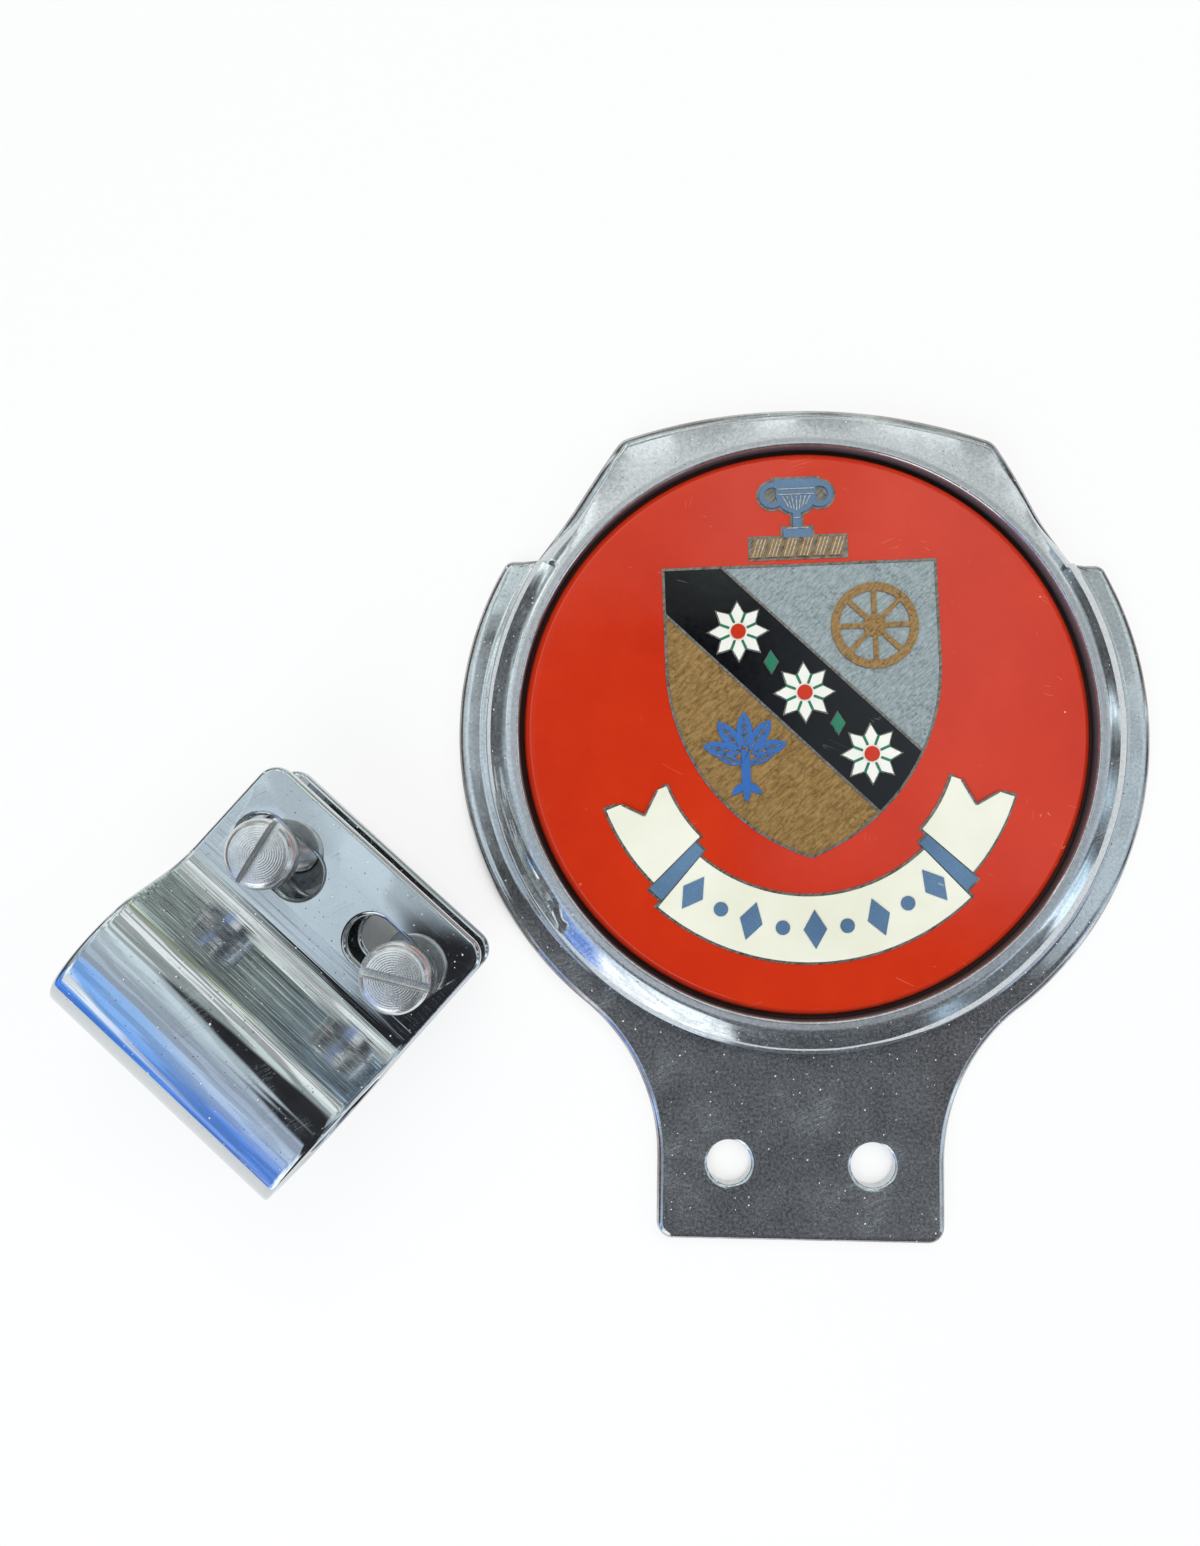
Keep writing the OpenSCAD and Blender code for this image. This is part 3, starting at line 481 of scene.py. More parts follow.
def plate(name, wave_mm, wave_um, haze, grained, draw_turn=None):
    """Bright chrome over nickel, handled for years: mirror bright and a little wavy, with dust and
    fine pits that catch the light, a haze of dust, hairlines, stained, worn or grimy spots, and
    painted shade deep in the well."""
    material, tree, place = begin(name)
    rim, painted_shade_and_grime, worn = [add(tree, "Attribute", attribute_name=n).outputs["Fac"]
                        for n in ("rim", "painted_shade_and_grime", "worn")]
    # Three noises, of so many millimetres. The real grain is finer than a pixel here, so it is
    # drawn coarser.
    wave, grain, patch = [
        add(tree, "TexNoise", {"Vector": place, "Scale": 1000 / mm, "Detail": fine, "Roughness": r})
        for mm, fine, r in ((wave_mm, 2.0, 0.45), (0.4, 4.0, 0.75), (7, 5.0, 0.62))]
    dust = specks(tree, place, 0.85, 0.30, 0.15, 0.04)
    pits = specks(tree, place, 0.55, 0.62, 0.19, 0.04)
    line = scores(tree, place, 0.5, 14, 0.16, 1.0, 0.006, 0.002)
    line_patch = add(tree, "MapRange", patch, 0.56, 0.72)
    hairlines = add(tree, "Math", line, line_patch, operation="MULTIPLY")
    stain_reach = add(tree, "MapRange", patch, 0.35, 0.65, 0.25, 1.0)
    stain = add(tree, "Math", rim, stain_reach, operation="MULTIPLY")
    grain_tone = add(tree, "MapRange", grain, 0.36, 0.64, 0.5 - grained / 2, 0.5 + grained / 2)
    # The dark red-brown is painted shade in the well, tinted by a painted reflection of the red
    # field, and partly grime; there it also takes away the metal's mirror.
    colour = layered(tree, "#bcc1c3", (grain_tone, "#d8dcde"), (stain, "#6a5344"),
                     (pits, "#70777a"), (dust, "#e3e2dd"), (painted_shade_and_grime, "#31120d"))
    # Dust, grime and the painted shade cover the metal, and a thin haze takes a part of its mirror
    cloudy = add(tree, "MapRange", patch, 0.3, 0.7, 1 - haze * 0.35, 1 - haze * 0.95)
    covered = most_of(tree, painted_shade_and_grime, dust)
    uncovered = add(tree, "Math", 1.0, covered, operation="SUBTRACT")
    dusted = add(tree, "MapRange", grain, 0.36, 0.64, 1.0, 1 - haze * grained * 0.9)
    hazed = add(tree, "Math", cloudy, dusted, operation="MULTIPLY")
    bare_share = add(tree, "Math", uncovered, hazed, operation="MULTIPLY")
    dull = add(tree, "MapRange", patch, 0.3, 0.75, 0.015, 0.055)
    dull_grain = add(tree, "MapRange", grain, 0.35, 0.75, 0.0, 0.03 * grained)
    rough = add(tree, "Math", dull, dull_grain, operation="ADD")
    for mask, more in ((hairlines, 0.15), (dust, 0.5), (worn, 0.2), (painted_shade_and_grime, 0.55)):
        rough = add(tree, "Math", mask, more, rough, operation="MULTIPLY_ADD",
                    use_clamp=True)
    heights = [(wave, 0.5, wave_um)]
    if draw_turn is not None:
        # Lines drawn along the strip where the bending tool dragged over it, and tarnish by them
        drag = add(tree, "Mapping", {"Vector": place, "Rotation": (0, 0, draw_turn),
                                     "Scale": (0.090, 0.0008, 0.0008)}, vector_type="TEXTURE")
        drawn = add(tree, "TexNoise", {"Vector": drag, "Scale": 1.0, "Detail": 3.0,
                                       "Roughness": 0.6})
        fold, tarnish = [add(tree, "Attribute", attribute_name=n).outputs["Fac"]
                         for n in ("fold", "tarnish")]
        depth = add(tree, "Math", drawn, fold, operation="MULTIPLY")
        heights.append((depth, 0.7, 100))
        yellowed = add(tree, "MapRange", drawn, 0.42, 0.50, 0.0, 0.75)
        film = add(tree, "Math", yellowed, tarnish, operation="MULTIPLY")
        colour = layered(tree, colour, (film, "#a39a5c"))
    normal = relief(tree, *heights, (grain, 0.05 * grained, 30), (hairlines, 0.3, -30),
                    (pits, 0.5, -40), (dust, 0.6, 50))
    skin(tree, colour, bare_share, rough, normal)
    return material


chrome = plate("bright_chrome_on_casting", 11, 200, haze=0.13, grained=1.0)

# The frame's section on each ray from the centre: web, well, land, bead, flange or cap, rounded
# rim, outer wall, back rim, hollow behind the cap and hollow behind the web
Ray = collections.namedtuple("Ray", "x y nx ny reach cap edge_round rim_z slope_start")
bead_r = land_r + 0.2
rays = []
for cap, (x, y, nx, ny) in outline:
    reach = hypot(x, y)
    angle = degrees(atan2(y, abs(x)))
    edge_round, rim_z, slope_start = min(0.95, max(0.2, 0.42 * (reach - 42.7))), flange_z, bead_r
    if cap:
        lift = smooth(angle, 35, 57)
        edge_round, rim_z = mix(0.2, 1.3, smooth(angle, 34, 44)), mix(flange_z, 5.7, lift)
        shelf = mix(2.9, 1.75, lift)
        slope_start = max(hypot(x - nx * shelf, y - ny * shelf), bead_r)
    rays.append(Ray(x, y, nx, ny, reach, cap, edge_round, rim_z, slope_start))
rings = []
levels = {"rim": [], "painted_shade_and_grime": [], "worn": []}


def out_on(ray, radius):
    return ray.x / ray.reach * radius, ray.y / ray.reach * radius


def inside(ray, inset):
    return ray.x - ray.nx * inset, ray.y - ray.ny * inset


def station(place, **marks):
    """A ring of the section, at the point that place gives for each ray, and its marks of wear,
    stain, grime and painted shade.
    """
    rings.append([Vector((x, y + round_y, z)) * MM for x, y, z in map(place, rays)])
    for name, values in levels.items():
        values.append(marks.get(name, 0.0))


# Web, well and land. The dark mark is painted shade, full on the well's floor and wall and weaker
# on the crest and the land, and in part grime.
for radius, z, marks in (
        (4.0, floor_z, {"painted_shade_and_grime": 0.9}), (37.9, floor_z, {"painted_shade_and_grime": 1.0}),
        (well_r, floor_z + 0.2, {"painted_shade_and_grime": 1.0}), (well_r, crest_z - 0.6, {"painted_shade_and_grime": 0.7}),
        (well_r, crest_z - 0.25, {}), (well_r + 0.05, crest_z - 0.1, {}),
        (well_r + 0.15, crest_z - 0.02, {}), (well_r + 0.3, crest_z, {"worn": 0.6, "painted_shade_and_grime": 0.1}),
        (well_r + 0.5, crest_z - 0.03, {"worn": 1.0, "painted_shade_and_grime": 0.3}),
        (land_r - 0.35, land_z + 0.08, {"worn": 1.0, "painted_shade_and_grime": 0.3}),
        (land_r - 0.1, land_z + 0.03, {"worn": 0.6, "painted_shade_and_grime": 0.05})):
    station(lambda ray: (*out_on(ray, radius), z), **marks)


# The bead: a long convex curve that rolls over to a low wall on the flange; on the cap the curve
# starts further out, past a facet that leans outwards a little, and runs down to the rim
def turned(start, low, high, share, run):
    """Point of an arc between two slopes, at a share of its turn; the arc runs so far outwards."""
    low, high = radians(low), radians(high)
    radius = run / (sin(high) - sin(low))
    slope = mix(low, high, share)
    return (start[0] + radius * (sin(slope) - sin(low)),
            start[1] - radius * (cos(low) - cos(slope)))


bead_run, roll_run, bead_foot = 2.75, 0.45, 0.12
facet_slope, cap_low, cap_high = 0.10, radians(14), radians(66)
bead_line = [turned((bead_r, land_z), bead_from, bead_to, i / 10, bead_run) for i in range(11)]
roll_start = bead_line[-1]
bead_line += [turned(roll_start, bead_to, bead_wall, i / 5, roll_run) for i in range(1, 6)]
bead_line.append((bead_line[-1][0] + bead_foot, flange_z + bead_foot))


def bead_point(ray, radius, z, share):
    end_x, end_y = inside(ray, ray.edge_round)
    if not ray.cap:
        return *out_on(ray, min(radius, hypot(end_x, end_y) - 0.06)), z
    facet_z = land_z - facet_slope * (ray.slope_start - land_r - 0.2)
    turn = mix(cap_low, cap_high, share)
    along = (sin(turn) - sin(cap_low)) / (sin(cap_high) - sin(cap_low))
    down = (cos(cap_low) - cos(turn)) / (cos(cap_low) - cos(cap_high))
    start_x, start_y = out_on(ray, ray.slope_start)
    return (mix(start_x, end_x, along), mix(start_y, end_y, along),
            facet_z - (facet_z - ray.rim_z) * down)


def flange_point(ray, share, out, height):
    """Point between the bead's foot and the rim: a share of the foot's hollow, then a share out."""
    rim_x, rim_y = inside(ray, ray.edge_round)
    if ray.cap:
        return rim_x, rim_y, ray.rim_z
    foot = min(bead_line[-1][0], hypot(rim_x, rim_y) - 0.06)
    gap = min(1.6, hypot(rim_x, rim_y) - foot)
    x, y = out_on(ray, foot + gap * share)
    return mix(x, rim_x, out), mix(y, rim_y, out), flange_z + height


def rim_point(ray, turn):
    height = ray.rim_z - min(ray.edge_round, ray.rim_z - 0.3) * (1 - cos(turn))
    return *inside(ray, ray.edge_round * (1 - sin(turn))), height


for step, (radius, z) in enumerate(bead_line):
    station(lambda ray: bead_point(ray, radius, z, step / (len(bead_line) - 1)))
for share, out, height in ((0.12, 0, 0.1), (0.28, 0, 0.03), (0.5, 0, 0), (0.6, 0, 0),
                           (0.6, 0.35, 0), (0.6, 0.7, 0), (0.6, 1, 0)):
    station(lambda ray: flange_point(ray, share, out, height))
rim_steps = 7
for step in range(1, rim_steps + 1):
    station(lambda ray: rim_point(ray, radians(90 * step / rim_steps)),
            rim=0.35 + 0.65 * step / rim_steps)
for inset, z in ((0, 0.5), (0, 0.3), (0.08, 0.1), (0.3, 0.0)):
    station(lambda ray: (*inside(ray, inset), z), rim=1.0)
# Hollow behind the cap, which runs out where the cap narrows
cap_wall, cap_hollow, hollow_in = 2.4, 4.3, well_r + 2.4


def hollow_point(ray, where, depth):
    out_x, out_y = inside(ray, cap_wall)
    out_r = hypot(out_x, out_y)
    width = out_r - hollow_in if ray.cap else 0
    deep = cap_hollow * smooth(width, 0.2, 1.4) * depth
    end_x, end_y = out_on(ray, hollow_in if width > 0.2 else min(hollow_in, out_r - 0.2))
    return mix(out_x, end_x, where), mix(out_y, end_y, where), deep


for where, depth in ((0, 0), (0, 0.04), (0.06, 1), (0.94, 1), (1, 0.04), (1, 0)):
    station(lambda ray: hollow_point(ray, where, depth))
for radius, z in ((recess_r + 0.2, 0.0), (recess_r, 0.15), (recess_r, recess_z - 0.15),
                  (recess_r - 0.15, recess_z), (4.0, recess_z)):
    station(lambda ray: (*out_on(ray, radius), z))
shape = bmesh.new()
loft(shape, rings)
badge_shell = finish_piece(shape, "chromed_frame", chrome, None, sharp=38)
for name, values in levels.items():
    mark(badge_shell, name, [value for value in values for _ in rays])

# Fixing holes, punched before plating, so their rims are dished and rolled over: how far past the
# hole's radius, and how far under the flange's face
dish = [(hole_r + past, flange_z - under)
        for past, under in ((0, 0.55), (0.03, 0.30), (0.10, 0.17), (0.24, 0.10), (0.50, 0.055),
                            (0.90, 0.022), (1.4, -0.004))]
section = [(0.0, -1.0), (hole_r + 0.25, -1.0), (hole_r + 0.25, -0.05), (hole_r + 0.06, 0.12),
           (hole_r, 0.35), *dish, (hole_r + 1.4, 4.0), (0.0, 4.0)]
for side in (-1, 1):
    shape = bmesh.new()
    lathe(shape, section, Vector((side * hole_half * MM, 0, 0)), 72)
    cut(badge_shell, finish_piece(shape, "hole_punch", chrome, None))
badge_shell.data.set_sharp_from_angle(angle=radians(38))
# The punched edges are clean; the cut leaves other vertices' levels on them
for vert in badge_shell.data.vertices:
    if hypot(abs(vert.co.x) / MM - hole_half, vert.co.y / MM) < hole_r + 1.3:
        for name in levels:
            badge_shell.data.attributes[name].data[vert.index].value = 0.0
shade_evenly(badge_shell)
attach(badge_shell, "badge")
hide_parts("badge_frame")


# Struck disc: a stamped blank whose raised lines part the colours. The lines are rubbed bright on
# top and grey in their sides.
def soften(piece, name, width_mm, angle):
    """Rounds the edges that turn by more than an angle."""
    soft = piece.modifiers.new(name, "BEVEL")
    soft.width = width_mm * MM
    soft.segments = 2
    soft.limit_method = "ANGLE"
    soft.angle_limit = radians(angle)
    soft.harden_normals = True


def dress(name, material, bevel=0.0):
    """Gives a node of the frame its material, and softens its edges by a bevel in millimetres."""
    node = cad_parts[name]
    if not node.material_slots:
        node.data.materials.append(material)
    for holder in node.material_slots:
        holder.material = material
    if bevel:
        weld = node.modifiers.new("join_faces", "WELD")
        weld.merge_threshold = 1e-6
        soften(node, "soft_edges", bevel, 35)


def enamel(name, shade, light, rough=0.14, flecks=0.5, scratch="#f3e6dc"):
    """Hard gloss colour: even, with faint clouds, a few pale specks and hairline scratches."""
    material, tree, place = begin(name)
    cloud, fine, flow = [
        add(tree, "TexNoise", {"Vector": place, "Scale": 1000 / mm, "Detail": fine, "Roughness": r})
        for mm, fine, r in ((16, 4.0, 0.6), (0.6, 3.0, 0.5), (5, 2.0, 0.5))]
    cloud_range = add(tree, "MapRange", cloud, 0.3, 0.7)
    fleck = specks(tree, place, 3.1, 0.72, 0.055, 0.012, flecks)
    kept = []
    for turn, length, width, gate in ((2.72, 9, 0.09, 0.68), (1.35, 6, 0.07, 0.71),
                                      (0.4, 8, 0.06, 0.72)):
        line = scores(tree, place, turn, length, width * 12, 0.0, 0.010, 0.003)
        area = add(tree, "TexNoise", {"Vector": place, "Scale": 1000 / length, "Detail": 1.0,
                                      "Distortion": turn})
        few = add(tree, "MapRange", area, gate, gate + 0.03)
        kept.append(add(tree, "Math", line, few, operation="MULTIPLY"))
    marks = most_of(tree, *kept)
    thin = add(tree, "Math", marks, 0.35, operation="MULTIPLY")
    colour = layered(tree, shade, (cloud_range, light), (fleck, scratch), (thin, scratch))
    fine_rough = add(tree, "MapRange", fine, 0.3, 0.7, rough * 0.75, rough * 1.3)
    roughness = add(tree, "Math", marks, 0.35, fine_rough, operation="MULTIPLY_ADD")
    normal = relief(tree, (flow, 0.25, 80), (marks, 0.4, -20), (fleck, 0.5, 40))
    skin(tree, colour, 0.0, roughness, normal, IOR=1.52)
    return material


def beaten(name, light, shade, dark, rough, grain_mm, depth_mm, metallic=1.0):
    """Metal with a beaten or brushed-on ground: small facets that glint, and dirt between them."""
    material, tree, place = begin(name)
    bent, broad = [
        add(tree, "TexNoise", {"Vector": place, "Scale": 1000 / mm, "Detail": fine, "Roughness": r})
        for mm, fine, r in ((2.5, 2.0, 0.5), (4.5, 4.0, 0.65))]
    shifted = layered(tree, place, (0.0006, bent.outputs["Color"]), blend="ADD")
    cells = add(tree, "TexVoronoi", {"Vector": shifted, "Scale": 1000 / grain_mm},
                feature="SMOOTH_F1")
    strokes = add(tree, "Mapping", {"Vector": place, "Rotation": (0, 0, 0.75),
                                    "Scale": Vector((3, 0.8, 1)) * grain_mm * MM},
                  vector_type="TEXTURE")
    rubbed = add(tree, "TexNoise", {"Vector": strokes, "Scale": 1.0, "Detail": 5.0,
                                    "Roughness": 0.7})
    tone_range = add(tree, "MapRange", rubbed, 0.38, 0.62)
    dirt_fine = add(tree, "MapRange", cells.outputs["Distance"], 0.45, 0.8)
    dirt_broad = add(tree, "MapRange", broad, 0.42, 0.62, 0.15, 0.8)
    dirt = add(tree, "Math", dirt_fine, dirt_broad, operation="MULTIPLY")
    colour = layered(tree, shade, (tone_range, light), (dirt, dark))
    roughness = add(tree, "MapRange", rubbed, 0.3, 0.7, rough * 0.7, rough * 1.35)
    depth_um = depth_mm * 1000
    normal = relief(tree, (cells.outputs["Distance"], 0.8, -depth_um), (rubbed, 0.5, depth_um / 2))
    skin(tree, colour, metallic, roughness, normal)
    return material


# Struck nickel silver, polished on the raised lines and dull in the corners
struck = beaten("struck_nickel_silver", "#a19d95", "#716c64", "#403b34", 0.32, 0.5, 0.012, 0.7)
dress("emblem_disc", struck, bevel=0.07)


# Field of the disc: red hard enamel, ground flush and glossy, with a rounded outer edge.
red = enamel("red_hard_enamel", "#bb2a10", "#c83314", rough=0.12, flecks=0.8, scratch="#f2b59a")
dress("red_enamel", red)
# The field was poured a little over the blank, and its edge is ground round
face_z, lip_in, lip_out, lip_drop = 5.5, 36.3, 37.6, 1.2
section = [(lip_in, face_z - 0.4)]
for i in range(13):
    turn = radians(90 * i / 12)
    section.append((lip_in + (lip_out - lip_in) * sin(turn),
                    face_z + 0.003 - lip_drop * (1 - cos(turn))))
section += [(lip_out, face_z - lip_drop - 0.3), (lip_in, face_z - lip_drop - 0.3)]
shape = bmesh.new()
lathe(shape, section, Vector((0, round_y, 0)) * MM, 180, closed=True)
finish_piece(shape, "red_field_edge", red, "badge", sharp=40)


# Shield: a beaten silver field above the band and a beaten gold one below it, both metal ground
# under thin clear lacquer, and a band of black enamel between them.
silver = beaten("beaten_silver_ground", "#b9c3c3", "#8d999a", "#667070", 0.45, 0.34, 0.02, 0.5)
gold = beaten("beaten_gold_ground", "#b8935a", "#876638", "#5a4526", 0.42, 0.38, 0.02, 0.5)
black = enamel("black_hard_enamel", "#050508", "#0a0b10", 0.12, 0.25, "#8d8f96")
dress("silver_panel", silver)
dress("gold_panel", gold)
dress("black_band", black)


# Charges: stars, studs and lozenges on the band, a wheel and a tree on the fields.
white_enamel = enamel("white_hard_enamel", "#e2e0d4", "#f0eee4", 0.16, 0.3, "#9b968a")
green = enamel("green_hard_enamel", "#216a50", "#2f8060", 0.16, 0.3)
blue = enamel("blue_hard_enamel", "#2b5a9c", "#3f6fb0", 0.22, 0.3)
bronze = beaten("bronze_powder_paint", "#b8925c", "#8d6d45", "#4a3621", 0.46, 0.3, 0.03, 0.45)
dress("white_stars", white_enamel, bevel=0.07)
dress("red_studs", red, bevel=0.09)
dress("green_lozenges", green, bevel=0.05)
dress("bronze_wheel", bronze, bevel=0.07)
dress("blue_tree", blue, bevel=0.07)


# Crest and scroll: a bronze torse under a slate-blue cup, and a cream ribbon with slate marks.
slate = enamel("slate_blue_enamel", "#48637f", "#5d7b98", 0.26, 0.35)
cream = enamel("cream_hard_enamel", "#dddac3", "#e9e7d5", 0.16, 0.25, "#a39e88")
dress("bronze_torse", bronze, bevel=0.07)
dress("slate_cup", slate, bevel=0.07)
dress("cream_scroll", cream, bevel=0.06)
dress("slate_marks", slate, bevel=0.04)


# Fine struck lines, which stand in the colours as hair-thin ridges of the blank: veins of the
# leaves, strands of the torse, bands of the cup, rays of the stars and the ends of the scroll.
disc_turn, low_top, line_top = radians(2.7), 5.87, 5.97


def turn_of(angle):
    return Vector((cos(radians(angle)), sin(radians(angle))))


def ridges(name, strokes, top, width, material):
    """Thin ridges with softened edges, each between two points of the disc in millimetres."""
    shape = bmesh.new()
    for x1, y1, x2, y2 in strokes:
        made = bmesh.ops.create_cube(shape, size=1.0)["verts"]
        bmesh.ops.scale(shape, verts=made, vec=(hypot(x2 - x1, y2 - y1), width, 0.3))
        turn = Matrix.Rotation(atan2(y2 - y1, x2 - x1), 3, "Z")
        bmesh.ops.rotate(shape, verts=made, cent=(0, 0, 0), matrix=turn)
        bmesh.ops.translate(shape, verts=made, vec=((x1 + x2) / 2, (y1 + y2) / 2, top - 0.15))
    bmesh.ops.bevel(shape, geom=shape.edges[:], offset=width * 0.22, offset_type="OFFSET",
                    affect="EDGES", segments=1, profile=0.5, material=-1)
    turn = Matrix.Rotation(disc_turn, 3, "Z")
    bmesh.ops.rotate(shape, verts=shape.verts, cent=(0, 0, 0), matrix=turn)
    bmesh.ops.translate(shape, verts=shape.verts, vec=(0, round_y, 0))
    bmesh.ops.scale(shape, verts=shape.verts, vec=(MM, MM, MM))
    finish_piece(shape, name, material, "badge", sharp=30)


def leaf_veins(foot, angle, length):
    """Midrib of a leaf and two pairs of veins; the angle runs from straight up to the left."""
    ahead, aside = turn_of(angle + 90), turn_of(angle)
    lines = [(*(foot + ahead * length * 0.28), *(foot + ahead * length * 1.02))]
    for share in (0.46, 0.68):
        for side in (-1, 1):
            start = foot + ahead * length * share
            lines.append((*start, *(start + ahead * 0.55 + aside * side * 0.42)))
    return lines


shield_w, shield_top, tree_h, star_pitch, band_y = 36.7, 22.4, 12.1, 12.0, 5.0
tree_foot = Vector((-shield_w * 0.223, -shield_top * 0.3))
veins = []
for turns, fan, foot_h, leaf_l in ((range(-2, 3), 38, 0.306, 0.41), ((-1, 1), 66, 0.18, 0.33)):
    for i in turns:
        veins += leaf_veins(tree_foot + Vector((0, foot_h * tree_h)), i * fan, leaf_l * tree_h)
ridges("leaf_veins", veins, low_top, 0.17, struck)
star_rays, ray_in, ray_out = [], 1.25, 2.7
for i in (-1, 0, 1):
    middle = Vector((0, band_y)) + i * star_pitch * turn_of(-45)
    for k in range(8):
        ahead = turn_of(22.5 + 45 * k)
        star_rays.append((*(middle + ray_in * ahead), *(middle + ray_out * ahead)))
ridges("star_rays", star_rays, line_top, 0.36, green)
torse_y, torse_l, torse_h, twists = 24.6, 12.6, 2.6, 6
twist, strand_half = torse_l / twists, torse_h / 2 - 0.12
strands = []
for i in range(twists):
    for share in (-0.42, -0.18, 0.04):
        x = (i - (twists - 1) / 2 + share) * twist
        strands.append((x, torse_y - strand_half, x + 0.4 * twist, torse_y + strand_half))
rubbed = beaten("rubbed_bright_metal", "#dedbd2", "#b3aea2", "#5d564c", 0.3, 0.4, 0.01, 0.5)
ridges("torse_strands", strands, line_top, 0.16, rubbed)
cup_y, bowl_r = 26.25, 2.7
bowl_y = cup_y + 6.7
bands = [(-half_w, y, half_w, y)
         for half_w, y in ((bowl_r * 0.94, bowl_y - 0.45), (bowl_r * 0.9, bowl_y - 1.2),
                           (0.5, cup_y + 2.3), (1.5, cup_y + 0.9))]
for i in range(-3, 4):
    bands.append((i * 0.62, bowl_y - 1.4, i * 0.34, bowl_y - 1.4 - 2.0 + 0.16 * abs(i)))
ridges("cup_bands", bands, line_top, 0.15, rubbed)
scroll_in, scroll_w, tail_b, tail_shift, notch = 22.0, 8.6, 70.0, 2.0, 6.0
tail_in = scroll_in - tail_shift
ends = []
for side in (-1, 1):
    # Angles from straight down; each end runs from the notch towards a tip, as far as the tail goes
    inner = (tail_in + scroll_w / 2) * turn_of(side * (tail_b - notch) - 90)
    for radius in (tail_in * 0.96, (tail_in + scroll_w) * 1.03):
        tip = radius * turn_of(side * (tail_b + notch) - 90)
        reach, end = 0.0, inner
        while abs(degrees(atan2(end.x, -end.y))) < tail_b:
            reach += 0.005
            end = inner.lerp(tip, reach)
        ends.append((*inner, *end))
ridges("scroll_ends", ends, line_top, 0.3, struck)


# Fixing of the disc: two studs brazed to its back, with thin nuts in the hollow of the frame.
zinc = beaten("zinc_plated_steel", "#c3c6c6", "#9b9fa0", "#5d605f", 0.34, 0.9, 0.01)
dress("disc_studs", zinc)
dress("disc_nuts", zinc, bevel=0.1)


# Bracket: one strip of mild steel, punched with two slots at each end, folded round a bar into a
# loop with two flat legs, then chromed. Its edges are tumbled round.
strap_half, strap_t, edge_soft = 18.0, 1.8, 0.55
leg_flat, leg_mid, foot_bend, ramp_turn, ramp_run = 14.3, 4.25, 7.2, 47, 4.79
brow_bend, brow_turn, crown_bend, fall_turn, back_bend = 4.5, 18, 14.0, 22, 7.0
leg_corner, slot_half, slot_in, slot_near, slot_far = 2.7, 3.1, 8.5, 6.1, 12.3
strap_turn, strap_x, strap_y, strap_z = radians(-41.2), -53.7, 40.3, 12.8396
strap_cos, strap_sin = cos(strap_turn), sin(strap_turn)

# Middle line of the upper half: distance back from the free edge and height above the loop's middle
foot_c = Vector((leg_flat, leg_mid + foot_bend))
ramp_p = foot_c + foot_bend * turn_of(ramp_turn - 90)
brow_c = ramp_p + ramp_run * turn_of(ramp_turn) + brow_bend * turn_of(ramp_turn - 90)
crown_c = brow_c + (crown_bend - brow_bend) * turn_of(brow_turn - 90)
back_c = crown_c + (crown_bend - back_bend) * turn_of(90 - fall_turn)
bends = [("line", Vector((0, leg_mid)), 0, leg_flat),
         ("arc", foot_c, foot_bend, -90, ramp_turn - 90),
         ("line", ramp_p, ramp_turn, ramp_run),
         ("arc", brow_c, brow_bend, ramp_turn + 90, brow_turn + 90),
         ("arc", crown_c, crown_bend, brow_turn + 90, 90 - fall_turn),
         ("arc", back_c, back_bend, 90 - fall_turn, 0),
         ("line", back_c + back_bend * turn_of(0), -90, back_c.y)]


def length_of(bend):
    return bend[3] if bend[0] == "line" else abs(radians(bend[4] - bend[3])) * bend[2]


half_length = sum(length_of(bend) for bend in bends)
full_length = 2 * half_length


def on_strip(run):
    """Place on the strip's middle line and the way outwards, at a length from the upper edge."""
    flip = Vector((1, -1 if run > half_length else 1))
    left = min(run, full_length - run)
    for bend in bends:
        length = length_of(bend)
        if left <= length or bend is bends[-1]:
            break
        left -= length
    if bend[0] == "line":
        return (bend[1] + turn_of(bend[2]) * left) * flip, turn_of(bend[2] + 90) * flip
    angle = bend[3] + (bend[4] - bend[3]) * left / length
    out = turn_of(angle) * (1 if bend[4] < bend[3] else -1)
    return (bend[1] + turn_of(angle) * bend[2]) * flip, out * flip


def placed(bar, front):
    """Place over the table from one along the bar and one in front of the loop's middle."""
    return (strap_x + bar * strap_cos - front * strap_sin,
            strap_y + bar * strap_sin + front * strap_cos)


# Flat strip with its slots, as it is before it is folded
flat = bpy.data.curves.new("strip", "CURVE")
flat.dimensions = "2D"
flat.fill_mode = "BOTH"
flat.extrude = strap_t / 2 - edge_soft
flat.bevel_depth = edge_soft
flat.bevel_resolution = 4
flat.offset = -edge_soft


def spline(arcs, radius, count):
    """A closed line through arcs of one radius, each given by its centre and first angle."""
    points = []
    for cx, cy, start in arcs:
        turns = [turn_of(start + i * 7.5) for i in range(count)]
        points += [(cx + radius * turn.x, cy + radius * turn.y) for turn in turns]
    line = flat.splines.new("POLY")
    line.points.add(len(points) - 1)
    for target, (x, y) in zip(line.points, points):
        target.co = (x, y, 0, 1)
    line.use_cyclic_u = True


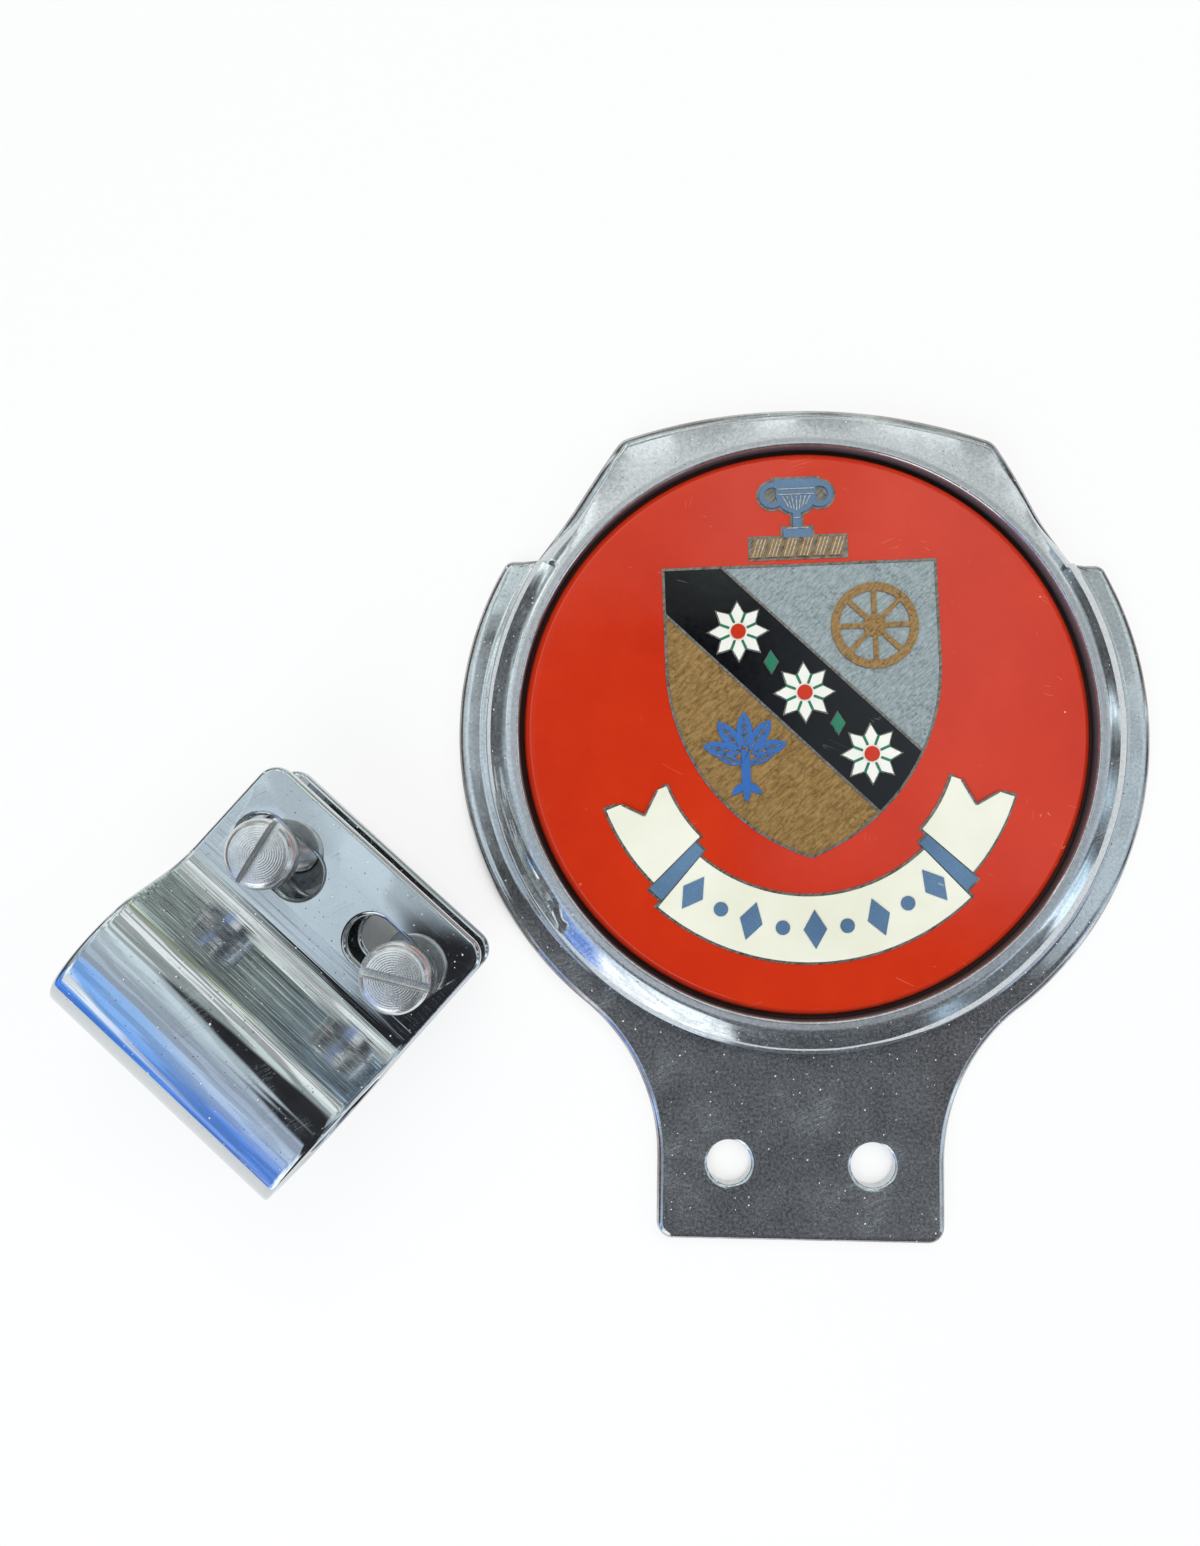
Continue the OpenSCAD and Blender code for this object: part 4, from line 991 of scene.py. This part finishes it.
side_x, far_y = strap_half - leg_corner, full_length - leg_corner
spline(((side_x, leg_corner, -90), (side_x, far_y, 0), (-side_x, far_y, 90),
        (-side_x, leg_corner, 180)), leg_corner, 13)
for left, right in ((-slot_far, -slot_near), (slot_near, slot_far)):
    for y in (slot_in, full_length - slot_in):
        spline(((right, y, -90), (left, y, 90)), slot_half, 25)
strip = put("strip", flat)
graph = bpy.context.evaluated_depsgraph_get()
strip_mesh = bpy.data.meshes.new_from_object(strip.evaluated_get(graph))
bpy.data.objects.remove(strip)
shape = bmesh.new()
shape.from_mesh(strip_mesh)
bmesh.ops.remove_doubles(shape, verts=shape.verts, dist=1e-4)
run = 0.0
for bend in bends:
    length = length_of(bend)
    cuts = 1 if bend[0] == "line" else max(2, round(length / 0.5))
    for i in range(cuts):
        run += length / cuts
        for place_y in {round(run, 6), round(full_length - run, 6)}:
            bmesh.ops.bisect_plane(shape, geom=shape.verts[:] + shape.edges[:] + shape.faces[:],
                                   dist=1e-5, plane_co=(0, place_y, 0), plane_no=(0, 1, 0))
for vert in shape.verts:
    across, run, up = vert.co
    point, out = on_strip(run)
    back, height = point + out * up
    vert.co = Vector((*placed(across, -back), strap_z + height)) * MM
strip_chrome = plate("bright_chrome_on_strip", 16, 140, 0.03, 0.2, strap_turn)
strap = finish_piece(shape, "folded_strap", strip_chrome, None, sharp=40)
# Where the drawn lines and the tarnish lie: from and to how far back, and how far along the bar
for name, low, high, reach in (("fold", 13.5, 23.0, 60), ("tarnish", 23.0, 23.1, 4)):
    marks = []
    for vert in strap.data.vertices:
        x, y = vert.co.x / MM - strap_x, vert.co.y / MM - strap_y
        back, along = x * strap_sin - y * strap_cos, x * strap_cos + y * strap_sin
        across = smooth(back, low - 0.6, low + 0.3) * (1 - smooth(back, high - 0.3, high + 0.6))
        marks.append(across * (1 - smooth(along, reach - 8, reach)))
    mark(strap, name, marks)
shade_evenly(strap)
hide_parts("strap_lower", "strap_upper")
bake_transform(strap)


# Screws: turned from steel bar, with a cheese head that is rounded at its rim, a sawn slot and a
# rolled thread. Once plated, now dull, with turning rings and bright scuffs beside the slot.
steel, tree, place = begin("turned_screw_steel")
from_axis = add(tree, "Attribute", attribute_name="from_axis").outputs["Fac"]
ring_mm = 0.28
ring_wave = add(tree, "Math", from_axis, 1000 * tau / ring_mm, operation="MULTIPLY")
ring_height = add(tree, "Math", ring_wave, operation="SINE")
worn, fine = [
    add(tree, "TexNoise", {"Vector": place, "Scale": 1000 / mm, "Detail": detail, "Roughness": r})
    for mm, detail, r in ((2.2, 5.0, 0.65), (0.3, 4.0, 0.7))]
worn_range = add(tree, "MapRange", worn, 0.35, 0.65)
spots = add(tree, "MapRange", fine, 0.62, 0.74, 0.0, 0.5)
colour = layered(tree, "#c9c9c8", (worn_range, "#e2e2e1"), (spots, "#4f4c49"))
roughness = add(tree, "MapRange", worn, 0.3, 0.7, 0.27, 0.17)
skin(tree, colour, 0.85, roughness, relief(tree, (ring_height, 0.3, 20), (fine, 0.5, 40)))

shank_r, shank_l, thread_pitch, thread_depth, around_count = 2.5, 22.0, 0.8, 0.45, 48
head_r, head_h, head_round, sawn_w, sawn_d = 4.25, 3.3, 1.15, 1.2, 1.5
ring_step = thread_pitch / 8
head_top = shank_l + head_h
# Section of the head, turned with a rounded rim and a low crown
section = [(0.0, shank_l - 0.8), (shank_r - 0.1, shank_l - 0.8), (shank_r - 0.1, shank_l),
           (head_r - 0.15, shank_l), (head_r - 0.04, shank_l + 0.05), (head_r, shank_l + 0.18)]
for turn in range(0, 91, 10):
    section.append((head_r - head_round + head_round * turn_of(turn).x,
                    head_top - 0.12 - head_round + head_round * turn_of(turn).y))
section += [(2.4, head_top - 0.04), (1.2, head_top - 0.005), (0.0, head_top)]
for name, along, sawn_turn in (("left_screw", -9.8, 101), ("right_screw", 11.8, 28)):
    axis = Vector((*placed(along, -slot_in), 0)) * MM
    # Thread: rings one eighth of the pitch apart, each drawn in where the groove passes
    rings = []
    for level in range(int((shank_l - 0.6) / ring_step) + 1):
        z = level * ring_step
        lead_in = mix(0.55, 0.0, smooth(z, 0.0, 0.9))
        points = []
        for i in range(around_count):
            turn = i / around_count
            groove = abs(((z / thread_pitch - turn) % 1.0) * 2 - 1)
            depth = thread_depth * max(0.0, min(1.0, groove * 1.3 - 0.15))
            radius = min(shank_r - depth, shank_r - lead_in)
            a = tau * turn
            points.append(axis + Vector((radius * cos(a), radius * sin(a), z)) * MM)
        rings.append(points)
    shape = bmesh.new()
    loft(shape, rings)
    lathe(shape, section, axis, 96)
    screw = finish_piece(shape, "turned_" + name, steel, None, sharp=35)
    shape = bmesh.new()
    bmesh.ops.create_cube(shape, size=1.0)
    bmesh.ops.scale(shape, verts=shape.verts, vec=Vector((12, sawn_w, 2 * sawn_d)) * MM)
    floor = [e for e in shape.edges if all(v.co.z < 0 for v in e.verts)]
    bmesh.ops.bevel(shape, geom=floor, offset=0.18 * MM, offset_type="OFFSET", affect="EDGES",
                    segments=3, profile=0.5, material=-1)
    turn = Matrix.Rotation(strap_turn + radians(sawn_turn), 3, "Z")
    bmesh.ops.rotate(shape, verts=shape.verts, cent=(0, 0, 0), matrix=turn)
    bmesh.ops.translate(shape, verts=shape.verts, vec=axis + Vector((0, 0, head_top * MM)))
    cut(screw, finish_piece(shape, "saw", steel, None))
    soften(screw, "worn_edges", 0.09, 50)
    settle(screw)
    mark(screw, "from_axis", [(v.co.xy - axis.xy).length for v in screw.data.vertices])
    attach(screw, name + "_set")
    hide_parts(name)


# Nuts and washers: pressed and cut from zinc-plated steel, under the lower leg.
for side in ("left", "right"):
    dress(side + "_washer", zinc, bevel=0.12)
    dress(side + "_nut", zinc, bevel=0.12)


bpy.context.view_layer.update()
